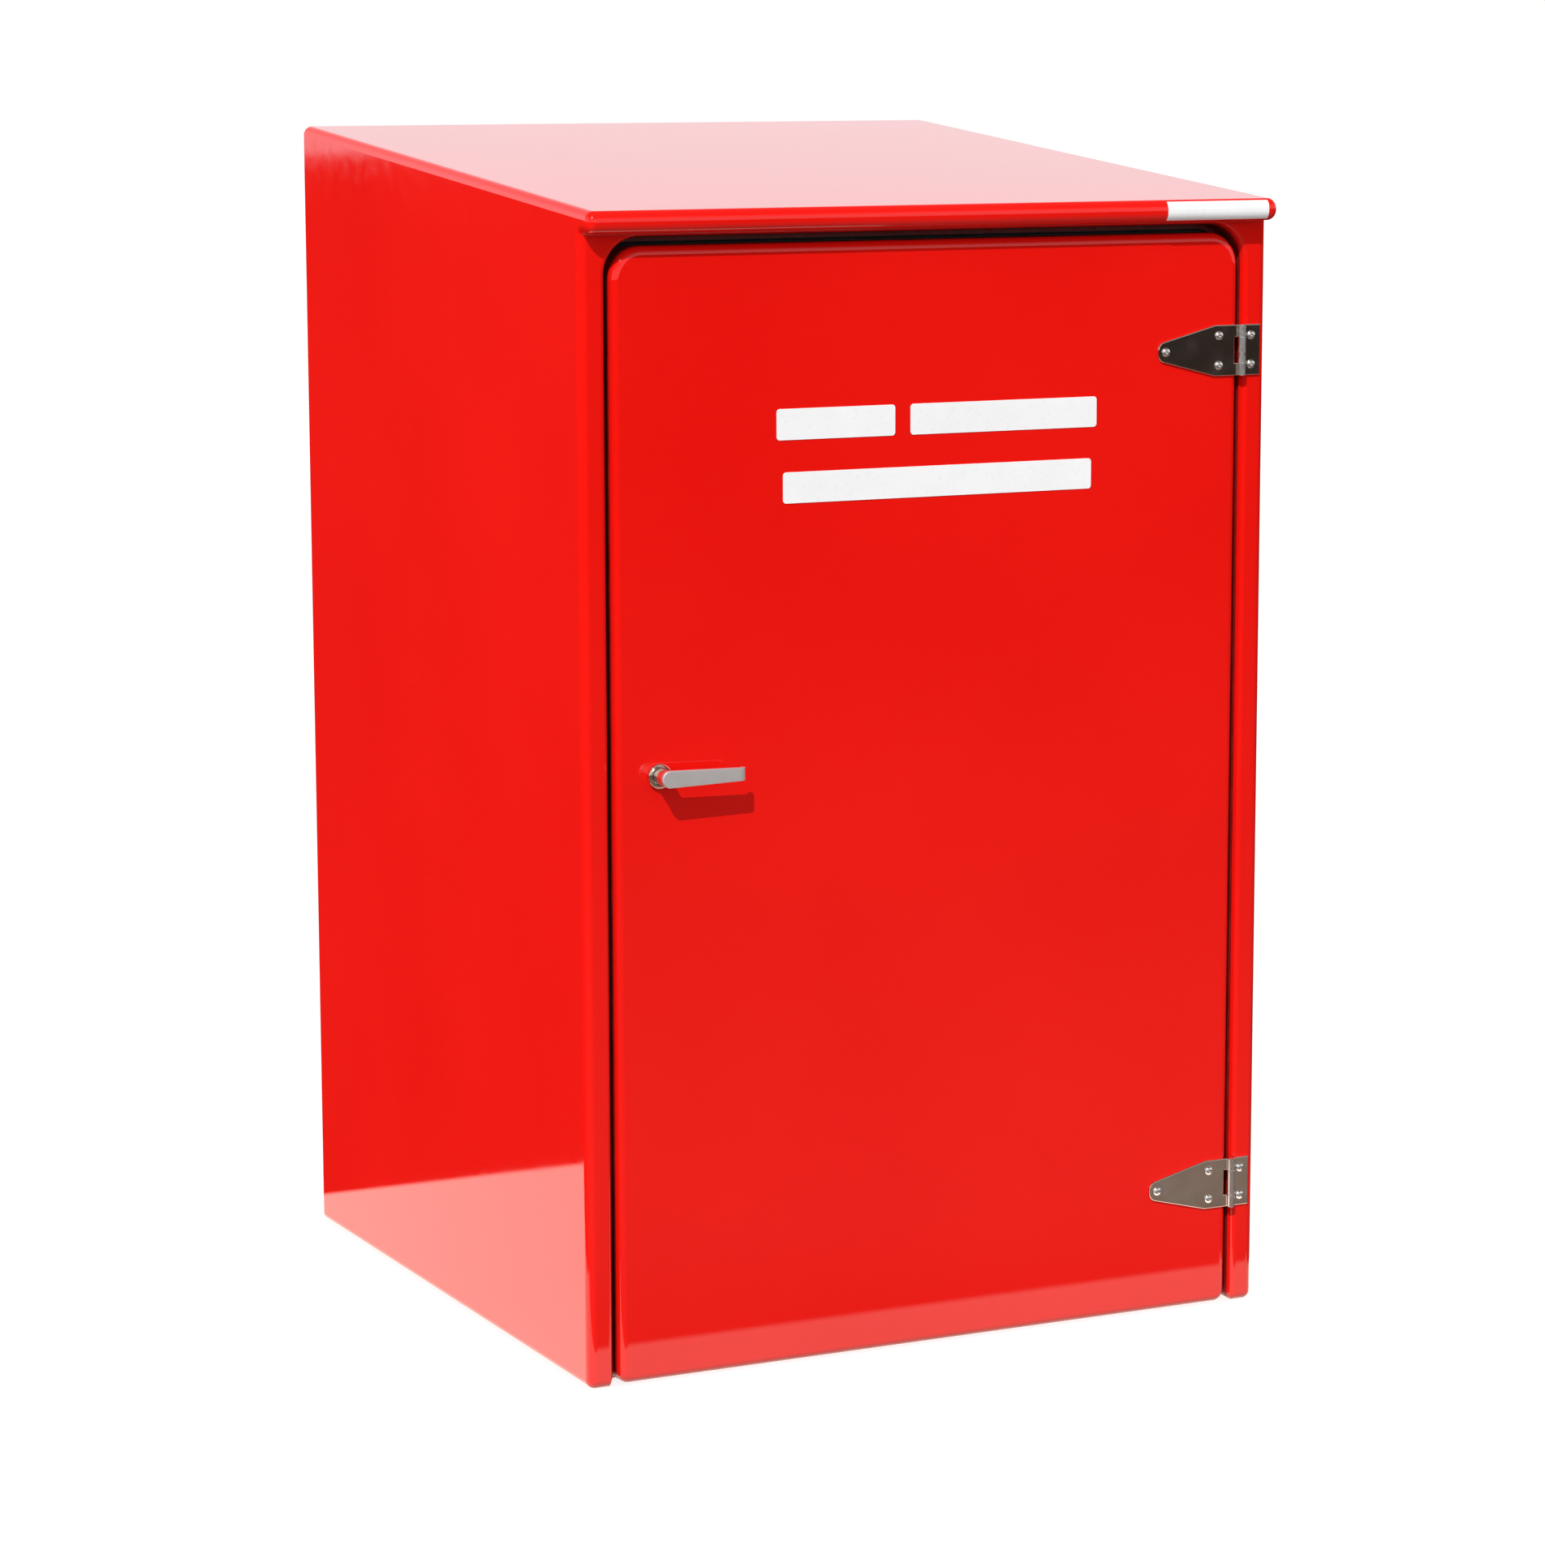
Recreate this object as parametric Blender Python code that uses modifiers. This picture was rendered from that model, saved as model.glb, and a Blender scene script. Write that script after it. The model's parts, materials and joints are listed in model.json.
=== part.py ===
"""A floor-standing moulded cabinet for a wheeled fire extinguisher: one-piece glass-fibre shell with a
sloping roof, a hinged door and a lever latch. Metres, +Z up, the door faces -Y and is hung at +X.
The origin is at the middle of the cabinet's footprint, lever included, at floor level.
"""

import math

import bmesh
import bpy
from mathutils import Vector

# Shell
WIDTH = 0.900
DEPTH = 0.890
FRONT_HEIGHT = 1.360
BACK_HEIGHT = 1.443
WALL = 0.005
EDGE_RADIUS = 0.011
LIP_REACH = 0.027
LIP_HEIGHT = 0.0255
LIP_RADIUS = 0.012
LIP_ROOT_RADIUS = 0.002
JAMB_WIDTH = 0.034
DOORWAY_TOP = 1.330
DOORWAY_RADIUS = 0.043
DOORWAY_FLARE = 0.009
FLARE_DEPTH = 0.016
LINTEL_FLARE = 0.0035
JAMB_FOOT_RADIUS = 0.011
REVEAL_DEPTH = 0.040
STOP_WIDTH = 0.020

# Door
DOOR_GAP = 0.005
HEAD_GAP = 0.010
GROUND_GAP = 0.002
DOOR_DEPTH = 0.034
DOOR_SKIN = 0.005
DOOR_EDGE_RADIUS = 0.010
DOOR_TOP_RADIUS = 0.038
DOOR_BOTTOM_RADIUS = 0.014
LINER_THICKNESS = 0.0037
SEAL_SETBACK = 0.006
SEAL_WIDTH = 0.012

# Hinges
HINGE_HEIGHTS = {"lower": 0.154, "upper": 1.180}
HINGE_HEIGHT = 0.061
LEAF_THICKNESS = 0.0025
KNUCKLE_RADIUS = 0.0048
PIN_RADIUS = 0.0025
STRAP_LENGTH = 0.1145
STRAP_TIP_RADIUS = 0.0098
STRAP_SHOULDER = 0.036
JAMB_LEAF_LENGTH = 0.0265
MIDDLE_KNUCKLE = 0.031
KNUCKLE_SLOT = 0.004
DOOR_BOLTS = {"tip": (-0.1045, 0.0), "top": (-0.031, 0.0178), "bottom": (-0.031, -0.0178)}
JAMB_BOLTS = {"top": (0.0135, 0.0174), "bottom": (0.0135, -0.0174)}
BOLT_RADIUS = 0.003
BOLT_HOLE_RADIUS = 0.0033
BOLT_HEAD_RADIUS = 0.00525
BOLT_HEAD_HEIGHT = 0.0033
BOLT_SHANK = 0.0135
PLATE_THICKNESS = 0.003
PLATE_HALF_HEIGHT = 0.0265
PLATE_POCKET_GAP = 0.002

# Latch
HANDLE_HEIGHT = 0.717
HANDLE_INSET = 0.0935
LEVER_REACH = 0.034
LEVER_THICKNESS = 0.006
LEVER_ROOT_HEIGHT = 0.020
LEVER_END_HEIGHT = 0.0156
LEVER_FLAT = 0.088
LEVER_CURL_RADIUS = 0.006
LEVER_CURL = math.radians(75)
NECK_RADIUS = 0.0093
ROSE_RADIUS = 0.0145
ROSE_THICKNESS = 0.005
BARREL_RADIUS = 0.0105
BARREL_OVERHANG = 0.008
ROSE_NUT_RADIUS = 0.017
ROSE_NUT_THICKNESS = 0.006
SPINDLE_RADIUS = 0.006
SPINDLE_THREAD_RADIUS = 0.004
SPINDLE_OVERHANG = 0.008
SOCKET_DEPTH = 0.0035
CAM_LENGTH = 0.0485
CAM_THICKNESS = 0.004
CAM_HEIGHT = 0.022
CAM_HUB_RADIUS = 0.0105
CAM_CLEARANCE = 0.0007
CAM_WASHER_RADIUS = 0.0095
CAM_WASHER_THICKNESS = 0.0015
CAM_NUT_RADIUS = 0.0075
CAM_NUT_THICKNESS = 0.0054
STRIKE_THICKNESS = 0.0015
STRIKE_HALF_HEIGHT = 0.045
RIVET_OFFSET = 0.036
RIVET_RADIUS = 0.0018
RIVET_HEAD_RADIUS = 0.004
RIVET_LENGTH = 0.0062

# Markings
VINYL_THICKNESS = 0.0004
LEGEND_HEIGHT = 0.036
LEGEND_BARS = {
    "first": (-0.2055, -0.0525, 1.113),
    "second": (-0.0325, 0.216, 1.113),
    "third": (-0.1975, 0.209, 1.040),
}
LABEL_LENGTH = 0.139
LABEL_SETBACK = 0.004
LABEL_WRAP = math.radians(50)

# Worked out from the sizes above
FIT_GAP = 0.0003
SMALL_CORNER = 0.004
FRONT = (LEVER_REACH - DEPTH) / 2
BACK = FRONT + DEPTH
HALF_WIDTH = WIDTH / 2
DOORWAY_HALF = HALF_WIDTH - JAMB_WIDTH
DOOR_HALF = DOORWAY_HALF - DOOR_GAP
DOOR_TOP = DOORWAY_TOP - HEAD_GAP
DOOR_BACK = FRONT + DOOR_DEPTH
STOP_FACE = FRONT + REVEAL_DEPTH
STOP_BACK = STOP_FACE + WALL
LIP_UNDERSIDE = FRONT_HEIGHT - LIP_HEIGHT
ROOF_SLOPE = (BACK_HEIGHT - FRONT_HEIGHT) / (DEPTH + LIP_REACH)
PIN_X = DOORWAY_HALF - DOOR_GAP / 2
PIN_Y = FRONT - FIT_GAP - KNUCKLE_RADIUS
LEAF_BACK = FRONT - FIT_GAP
LEAF_FRONT = LEAF_BACK - LEAF_THICKNESS
PLATE_FRONT = FRONT + WALL + FIT_GAP
PLATE_BACK = PLATE_FRONT + PLATE_THICKNESS
CORE_FRONT = FRONT + DOOR_SKIN + FIT_GAP
LINER_BACK = DOOR_BACK - FIT_GAP
LINER_FRONT = LINER_BACK - LINER_THICKNESS
CORE_BACK = LINER_FRONT - FIT_GAP
HANDLE_X = HANDLE_INSET - HALF_WIDTH
LEVER_FRONT = FRONT - LEVER_REACH
LEVER_BACK = LEVER_FRONT + LEVER_THICKNESS
STRIKE_BACK = STOP_BACK + FIT_GAP + STRIKE_THICKNESS
CAM_FRONT = STRIKE_BACK + CAM_CLEARANCE
CAM_BACK = CAM_FRONT + CAM_THICKNESS

for leftover in list(bpy.data.objects):
    bpy.data.objects.remove(leftover)
PARTS = bpy.data.collections.new("wheeled_extinguisher_cabinet")
CUTTERS = bpy.data.collections.new("cutters")
bpy.context.scene.collection.children.link(PARTS)
bpy.context.scene.collection.children.link(CUTTERS)


def material(name, colour, roughness, metallic=0.0):
    made = bpy.data.materials.new(name)
    made.use_nodes = True
    shader = made.node_tree.nodes["Principled BSDF"]
    shader.inputs["Base Color"].default_value = (*colour, 1.0)
    shader.inputs["Roughness"].default_value = roughness
    shader.inputs["Metallic"].default_value = metallic
    return made


RED_GELCOAT = material("red_gelcoat", (0.78, 0.012, 0.006), 0.08)
WHITE_LAMINATE = material("white_laminate", (0.72, 0.72, 0.69), 0.4)
CORE_BOARD = material("core_board", (0.62, 0.45, 0.26), 0.8)
SEAL_RUBBER = material("seal_rubber", (0.02, 0.02, 0.02), 0.7)
POLISHED_STEEL = material("polished_steel", (0.78, 0.77, 0.74), 0.08, 1.0)
SATIN_STEEL = material("satin_steel", (0.62, 0.62, 0.61), 0.3, 1.0)
ZINC_STEEL = material("zinc_steel", (0.55, 0.56, 0.57), 0.4, 1.0)
WHITE_VINYL = material("white_vinyl", (0.9, 0.9, 0.9), 0.35)


def rounded(corners):
    """The outline through corners given as (x, y, radius, steps): each corner is replaced by its arc."""
    points = []
    for index, (x, y, radius, steps) in enumerate(corners):
        corner = Vector((x, y))
        if not radius:
            points.append(corner)
            continue
        before = (Vector(corners[index - 1][:2]) - corner).normalized()
        after = (Vector(corners[(index + 1) % len(corners)][:2]) - corner).normalized()
        half = before.angle(after) / 2
        centre = corner + (before + after).normalized() * radius / math.sin(half)
        first = corner + before * radius / math.tan(half) - centre
        last = corner + after * radius / math.tan(half) - centre
        start = math.atan2(first.y, first.x)
        sweep = math.remainder(math.atan2(last.y, last.x) - start, math.tau)
        for step in range(steps + 1):
            angle = start + sweep * step / steps
            points.append(centre + radius * Vector((math.cos(angle), math.sin(angle))))
    return points


def rounded_plate(left, right, low, high, corner):
    """The outline of a rectangle whose four corners share one radius."""
    return rounded([(x, y, corner, 3) for x, y in ((left, low), (right, low), (right, high), (left, high))])


def circle(x, y, radius, steps):
    angles = [math.tau * step / steps for step in range(steps)]
    return [Vector((x + radius * math.cos(a), y + radius * math.sin(a))) for a in angles]


def mesh_object(name, mesh, collection, finish=None):
    made = bpy.data.objects.new(name, mesh)
    collection.objects.link(made)
    if finish:
        mesh.materials.append(finish)
        mesh.shade_smooth()
        mesh.set_sharp_from_angle(angle=math.radians(35))
    else:
        made.hide_render = True
        made.display_type = "WIRE"
    return made


def extruded(name, outline, low, high, rotation, finish=None):
    """A closed mesh of the outline between two distances along the axis that the rotation gives its Z."""
    curve = bpy.data.curves.new(name, "CURVE")
    curve.dimensions = "2D"
    curve.fill_mode = "BOTH"
    curve.extrude = (high - low) / 2
    spline = curve.splines.new("POLY")
    spline.points.add(len(outline) - 1)
    for point, (x, y) in zip(spline.points, outline):
        point.co = (x, y, 0, 1)
    spline.use_cyclic_u = True
    guide = bpy.data.objects.new(name + "_guide", curve)
    CUTTERS.objects.link(guide)
    guide.rotation_euler = rotation
    turn = guide.rotation_euler.to_matrix()
    guide.location = turn @ Vector((0, 0, (low + high) / 2))
    bpy.context.view_layer.update()
    graph = bpy.context.evaluated_depsgraph_get()
    mesh = bpy.data.meshes.new_from_object(guide.evaluated_get(graph))
    shape = bmesh.new()
    shape.from_mesh(mesh)
    bmesh.ops.transform(shape, matrix=guide.matrix_world, verts=shape.verts)
    bmesh.ops.remove_doubles(shape, verts=shape.verts, dist=1e-6)
    bmesh.ops.dissolve_limit(shape, angle_limit=1e-4, verts=shape.verts, edges=shape.edges)
    bmesh.ops.recalc_face_normals(shape, faces=shape.faces)
    shape.to_mesh(mesh)
    shape.free()
    bpy.data.objects.remove(guide)
    return mesh_object(name, mesh, PARTS if finish else CUTTERS, finish)


def panel(name, outline, front, back, finish=None):
    """An outline seen from the front, in X and Z, as a solid from Y front to Y back."""
    return extruded(name, outline, -back, -front, (math.pi / 2, 0, 0), finish)


def section(name, outline, left, right, finish=None):
    """An outline seen from the side, in Y and Z, as a solid from X left to X right."""
    return extruded(name, outline, left, right, (math.pi / 2, 0, math.pi / 2), finish)


def turned(name, profile, place, finish=None, steps=20):
    """A profile of (radius, distance in front of place), turned about the Y line through place.

    It runs from front to back down its outer side. One that leaves the axis open is a ring, so it is closed.
    """
    mesh = bpy.data.meshes.new(name)
    count = len(profile)
    closing = 0 if profile[0][0] == 0 else 1
    edges = [(step, (step + 1) % count) for step in range(count - 1 + closing)]
    mesh.from_pydata([(radius, 0, reach) for radius, reach in profile], edges, [])
    made = mesh_object(name, mesh, PARTS if finish else CUTTERS, finish)
    made.location = place
    made.rotation_euler = (math.pi / 2, 0, 0)
    screw = made.modifiers.new("turn", "SCREW")
    screw.steps = steps
    screw.render_steps = steps
    screw.use_merge_vertices = True
    screw.merge_threshold = 0.00001
    return made


def round_edges(target, radius, steps, wanted):
    """Rounds the edges whose two ends pass the test."""
    shape = bmesh.new()
    shape.from_mesh(target.data)
    edges = [
        edge
        for edge in shape.edges
        if wanted(edge.verts[0].co) and wanted(edge.verts[1].co) and edge.calc_face_angle() > 1
    ]
    bmesh.ops.bevel(
        shape, geom=edges, offset=radius, segments=steps, profile=0.5, affect="EDGES", clamp_overlap=False
    )
    shape.to_mesh(target.data)
    shape.free()
    target.data.shade_smooth()
    target.data.set_sharp_from_angle(angle=math.radians(35))


def boolean(target, tool, operation="DIFFERENCE"):
    step = target.modifiers.new(tool.name, "BOOLEAN")
    step.operation = operation
    step.object = tool


def hole(name, x, z, radius, front, back, targets):
    """Cuts one round hole through every target."""
    drill = panel(name, circle(x, z, radius, 20), front, back)
    for target in targets:
        boolean(target, drill)


def axis_empty(name, place):
    empty = bpy.data.objects.new(name, None)
    PARTS.objects.link(empty)
    empty.location = place
    return empty


def hang(pieces, empty):
    """Parents pieces to an empty on their joint's axis, and keeps them where they are."""
    for piece in pieces:
        piece.parent = empty
        piece.location -= empty.location


def doorway_outline(outset_x, outset_top, bottom, steps=8):
    """The doorway seen from the front, grown by an outset at its sides and another at its top."""
    half = DOORWAY_HALF + outset_x
    radius = DOORWAY_RADIUS + outset_top
    top = DOORWAY_TOP + outset_top
    return rounded(
        [(-half, bottom, 0, 0), (half, bottom, 0, 0), (half, top, radius, steps), (-half, top, radius, steps)]
    )


def door_outline(inset):
    """The door seen from the front, shrunk by an inset all round."""
    half = DOOR_HALF - inset
    low = GROUND_GAP + inset
    top = DOOR_TOP - inset
    low_radius = DOOR_BOTTOM_RADIUS - inset
    top_radius = DOOR_TOP_RADIUS - inset
    return rounded(
        [
            (-half, low, low_radius, 4),
            (half, low, low_radius, 4),
            (half, top, top_radius, 7),
            (-half, top, top_radius, 7),
        ]
    )


def doorway_cut_outline(share):
    """The cutter's outline with a share of the mouth's flare. It rounds the jambs' feet just under the floor line."""
    half = DOORWAY_HALF + DOORWAY_FLARE * share
    top = DOORWAY_TOP + LINTEL_FLARE * share
    radius = DOORWAY_RADIUS + LINTEL_FLARE * share
    under, foot = -0.0004, half + JAMB_FOOT_RADIUS + 0.001
    right = [(foot, -0.02, 0, 0), (foot, under, 0, 0), (half, under, JAMB_FOOT_RADIUS, 5), (half, top, radius, 8)]
    return rounded(right + [(-x, z, *arc) for x, z, *arc in reversed(right)])


def flared_doorway():
    """The doorway's cutter: its mouth opens out in a quarter ellipse, which rounds the jambs' inner edges."""
    steps = 4
    rings = [(FRONT - FIT_GAP, 1.0)]
    for step in range(steps + 1):
        angle = math.pi / 2 * step / steps
        rings.append((FRONT + FLARE_DEPTH * (1 - math.cos(angle)), 1 - math.sin(angle)))
    rings.append((STOP_FACE, 0.0))
    shape = bmesh.new()
    loops = []
    for y, share in rings:
        loops.append([shape.verts.new((x, y, z)) for x, z in doorway_cut_outline(share)])
    for near, far in zip(loops, loops[1:]):
        for index in range(len(near)):
            follow = (index + 1) % len(near)
            shape.faces.new((near[index], near[follow], far[follow], far[index]))
    shape.faces.new(loops[0])
    shape.faces.new(loops[-1])
    bmesh.ops.remove_doubles(shape, verts=shape.verts, dist=1e-6)
    bmesh.ops.recalc_face_normals(shape, faces=shape.faces)
    mesh = bpy.data.meshes.new("flared_doorway")
    shape.to_mesh(mesh)
    shape.free()
    return mesh_object("flared_doorway", mesh, CUTTERS)


def lip_outline(inset):
    """The shell seen from the side. Its roof falls to the front and ends in a rounded lip."""
    if inset:
        drop = inset * math.hypot(1, ROOF_SLOPE)
        front_top = FRONT_HEIGHT - drop + ROOF_SLOPE * (LIP_REACH + inset)
        back_top = BACK_HEIGHT - drop - ROOF_SLOPE * inset
        inner = EDGE_RADIUS - inset
        return rounded(
            [
                (FRONT + inset, inset, inner, 3),
                (BACK - inset, inset, inner, 3),
                (BACK - inset, back_top, inner, 3),
                (FRONT + inset, front_top, inner, 3),
            ]
        )
    return rounded(
        [
            (FRONT, 0, EDGE_RADIUS, 5),
            (BACK, 0, EDGE_RADIUS, 5),
            (BACK, BACK_HEIGHT, EDGE_RADIUS, 5),
            (FRONT - LIP_REACH, FRONT_HEIGHT, LIP_RADIUS, 5),
            (FRONT - LIP_REACH, LIP_UNDERSIDE, LIP_RADIUS, 5),
            (FRONT, LIP_UNDERSIDE, LIP_ROOT_RADIUS, 2),
        ]
    )


def make_shell():
    shell = section("cabinet_shell", lip_outline(0), -HALF_WIDTH, HALF_WIDTH, RED_GELCOAT)
    round_edges(shell, EDGE_RADIUS * 0.98, 5, lambda point: abs(point.x) > HALF_WIDTH - 0.0001)
    inner_half = HALF_WIDTH - WALL
    boolean(shell, section("cavity", lip_outline(WALL), -inner_half, inner_half))
    bury = WALL * 0.7
    frame = panel("door_frame", doorway_outline(WALL, WALL, bury), FRONT + bury, STOP_BACK)
    boolean(frame, panel("way_in", doorway_outline(-STOP_WIDTH, -STOP_WIDTH, -0.01), FRONT, BACK))
    boolean(shell, frame, "UNION")
    boolean(shell, flared_doorway())
    return shell


def make_door():
    skin = panel("door_skin", door_outline(0), FRONT, DOOR_BACK, RED_GELCOAT)
    round_edges(skin, DOOR_EDGE_RADIUS, 5, lambda point: point.y < FRONT + 0.0001)
    boolean(skin, panel("door_pocket", door_outline(DOOR_SKIN), FRONT + DOOR_SKIN, DOOR_BACK + 0.01))
    inset = DOOR_SKIN + FIT_GAP
    core = panel("door_core", door_outline(inset), CORE_FRONT, CORE_BACK, CORE_BOARD)
    liner = panel("door_inner_panel", door_outline(inset), LINER_FRONT, LINER_BACK, WHITE_LAMINATE)
    hole("latch_hole", HANDLE_X, HANDLE_HEIGHT, BARREL_RADIUS + FIT_GAP, FRONT - 0.01, DOOR_BACK + 0.01,
         [skin, core, liner])
    return skin, core, liner


def make_seal():
    """The door seal, bonded to the front of the doorway's stop down both sides and along the top."""
    inner = -SEAL_SETBACK - SEAL_WIDTH
    foot = WALL + 0.003
    seal = panel("door_seal", doorway_outline(-SEAL_SETBACK, -SEAL_SETBACK, foot), DOOR_BACK + FIT_GAP,
                 STOP_FACE - FIT_GAP, SEAL_RUBBER)
    boolean(seal, panel("seal_way", doorway_outline(inner, inner, -0.01), FRONT, BACK))
    return seal


def on_hinge_line(name, radius, low, high, finish=None):
    """A solid cylinder about the hinge line: a knuckle, a pin, or the drill for the pin's bore."""
    mesh = bpy.data.meshes.new(name)
    shape = bmesh.new()
    bmesh.ops.create_cone(shape, cap_ends=True, segments=20, radius1=radius, radius2=radius, depth=high - low)
    bmesh.ops.translate(shape, vec=(PIN_X, PIN_Y, (low + high) / 2), verts=shape.verts)
    shape.to_mesh(mesh)
    shape.free()
    return mesh_object(name, mesh, PARTS if finish else CUTTERS, finish)


def strap_outline(middle):
    """The door leaf: square at the hinge line, then tapering to a rounded tip."""
    half = HINGE_HEIGHT / 2
    tip = PIN_X - STRAP_LENGTH
    shoulder = PIN_X - STRAP_SHOULDER
    drop = STRAP_TIP_RADIUS * 1.05
    return rounded(
        [
            (PIN_X, middle - half, 0, 0),
            (PIN_X, middle + half, 0, 0),
            (shoulder, middle + half, 0.004, 2),
            (tip, middle + drop, STRAP_TIP_RADIUS, 5),
            (tip, middle - drop, STRAP_TIP_RADIUS, 5),
            (shoulder, middle - half, 0.004, 2),
        ]
    )


def make_hinge(side, middle):
    """One strap hinge: door leaf with the two end knuckles, jamb leaf with the middle one, and the pin."""
    half = HINGE_HEIGHT / 2
    slot_half = MIDDLE_KNUCKLE / 2
    bore = PIN_RADIUS + FIT_GAP
    drill = on_hinge_line(side + "_pin_drill", bore, middle - HINGE_HEIGHT, middle + HINGE_HEIGHT)
    strap = panel(side + "_hinge_door_leaf", strap_outline(middle), LEAF_FRONT, LEAF_BACK, POLISHED_STEEL)
    for end, low, high in (("top", slot_half, half), ("foot", -half, -slot_half)):
        knuckle = on_hinge_line(f"{side}_{end}_knuckle", KNUCKLE_RADIUS, middle + low, middle + high)
        boolean(strap, knuckle, "UNION")
    slot_left = PIN_X - KNUCKLE_RADIUS - KNUCKLE_SLOT
    slot_right = PIN_X + 2 * KNUCKLE_RADIUS
    slot = [
        (slot_left, middle - slot_half),
        (slot_right, middle - slot_half),
        (slot_right, middle + slot_half),
        (slot_left, middle + slot_half),
    ]
    boolean(strap, panel(side + "_slot", slot, PIN_Y - 2 * KNUCKLE_RADIUS, FRONT + WALL / 2))
    boolean(strap, drill)

    right = PIN_X + JAMB_LEAF_LENGTH
    clear = slot_half - FIT_GAP
    notch = PIN_X + KNUCKLE_RADIUS + FIT_GAP
    upper = [(right, middle + half), (notch, middle + half), (notch, middle + clear), (PIN_X, middle + clear)]
    lower = [(PIN_X, middle - clear), (notch, middle - clear), (notch, middle - half), (right, middle - half)]
    leaf = panel(side + "_hinge_jamb_leaf", lower + upper, LEAF_FRONT, LEAF_BACK, POLISHED_STEEL)
    middle_knuckle = on_hinge_line(side + "_middle_knuckle", KNUCKLE_RADIUS, middle - clear, middle + clear)
    boolean(leaf, middle_knuckle, "UNION")
    boolean(leaf, drill)

    on_hinge_line(side + "_hinge_pin", PIN_RADIUS, middle - half, middle + half, SATIN_STEEL)
    return strap, leaf


def make_backing_plate(name, left, right, middle):
    """The plate behind the skin or jamb that a leaf's screws are tapped into."""
    outline = rounded_plate(left, right, middle - PLATE_HALF_HEIGHT, middle + PLATE_HALF_HEIGHT, SMALL_CORNER)
    return panel(name, outline, PLATE_FRONT, PLATE_BACK, ZINC_STEEL)


def make_bolt(name, x, z):
    """A domed screw: head in front of the leaf, shank through leaf and skin into the backing plate."""
    rim = BOLT_HEAD_HEIGHT * 0.25
    dome = BOLT_HEAD_HEIGHT - rim
    profile = [(0, BOLT_HEAD_HEIGHT)]
    for share in (0.25, 0.5, 0.75, 1.0):
        profile.append((BOLT_HEAD_RADIUS * share, rim + dome * math.sqrt(1 - share * share)))
    profile += [
        (BOLT_HEAD_RADIUS, FIT_GAP),
        (BOLT_RADIUS, FIT_GAP),
        (BOLT_RADIUS, -BOLT_SHANK),
        (0, -BOLT_SHANK),
    ]
    return turned(name, profile, (x, LEAF_FRONT, z), POLISHED_STEEL, steps=16)


def latch_disc(name, radius, steps, front, thickness, bore):
    """A washer or a six-sided nut about the latch's axis, behind the door."""
    disc = panel(name, circle(HANDLE_X, HANDLE_HEIGHT, radius, steps), front, front + thickness, ZINC_STEEL)
    hole(name + "_bore", HANDLE_X, HANDLE_HEIGHT, bore + FIT_GAP, front - 0.01, front + thickness + 0.01,
         [disc])
    return disc


def make_latch():
    """The lever latch: the rose and nut that are fixed in the door, and what turns in them."""
    centre = (HANDLE_X, FRONT, HANDLE_HEIGHT)
    bore = SPINDLE_RADIUS + FIT_GAP
    barrel_end = -(DOOR_DEPTH + BARREL_OVERHANG)
    rim = ROSE_THICKNESS + FIT_GAP
    rose = turned(
        "handle_rose",
        [
            (bore, rim), (ROSE_RADIUS - 0.0025, rim), (ROSE_RADIUS, rim - 0.002), (ROSE_RADIUS, FIT_GAP),
            (BARREL_RADIUS, FIT_GAP), (BARREL_RADIUS, barrel_end), (bore, barrel_end),
        ],
        centre,
        POLISHED_STEEL,
        steps=28,
    )
    nut_front = DOOR_BACK + FIT_GAP
    nut = latch_disc("rose_fixing_nut", ROSE_NUT_RADIUS, 6, nut_front, ROSE_NUT_THICKNESS, BARREL_RADIUS)
    spindle_front = LEVER_REACH - LEVER_THICKNESS - SMALL_CORNER
    shoulder = FRONT - CAM_FRONT + FIT_GAP
    spindle_back = FRONT - CAM_BACK - SPINDLE_OVERHANG
    spindle = turned(
        "handle_spindle",
        [
            (0, spindle_front), (SPINDLE_RADIUS, spindle_front), (SPINDLE_RADIUS, shoulder),
            (SPINDLE_THREAD_RADIUS, shoulder), (SPINDLE_THREAD_RADIUS, spindle_back), (0, spindle_back),
        ],
        centre,
        SATIN_STEEL,
    )
    low = HANDLE_HEIGHT - CAM_HEIGHT / 2
    high = HANDLE_HEIGHT + CAM_HEIGHT / 2
    tip = HANDLE_X - CAM_LENGTH
    hub = HANDLE_X + CAM_HEIGHT / 2
    cam_outline = rounded(
        [
            (tip, low, SMALL_CORNER, 3),
            (hub, low, CAM_HUB_RADIUS, 5),
            (hub, high, CAM_HUB_RADIUS, 5),
            (tip, high, SMALL_CORNER, 3),
        ]
    )
    cam = panel("latch_cam", cam_outline, CAM_FRONT, CAM_BACK, SATIN_STEEL)
    hole("cam_hole", HANDLE_X, HANDLE_HEIGHT, SPINDLE_THREAD_RADIUS + FIT_GAP, STOP_FACE, CAM_BACK + 0.01,
         [cam])
    washer_front = CAM_BACK + FIT_GAP
    nut_face = washer_front + CAM_WASHER_THICKNESS + FIT_GAP
    washer = latch_disc("cam_washer", CAM_WASHER_RADIUS, 20, washer_front, CAM_WASHER_THICKNESS,
                        SPINDLE_THREAD_RADIUS)
    cam_nut = latch_disc("cam_nut", CAM_NUT_RADIUS, 6, nut_face, CAM_NUT_THICKNESS, SPINDLE_THREAD_RADIUS)
    return (rose, nut), (make_lever(), spindle, cam, washer, cam_nut)


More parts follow.
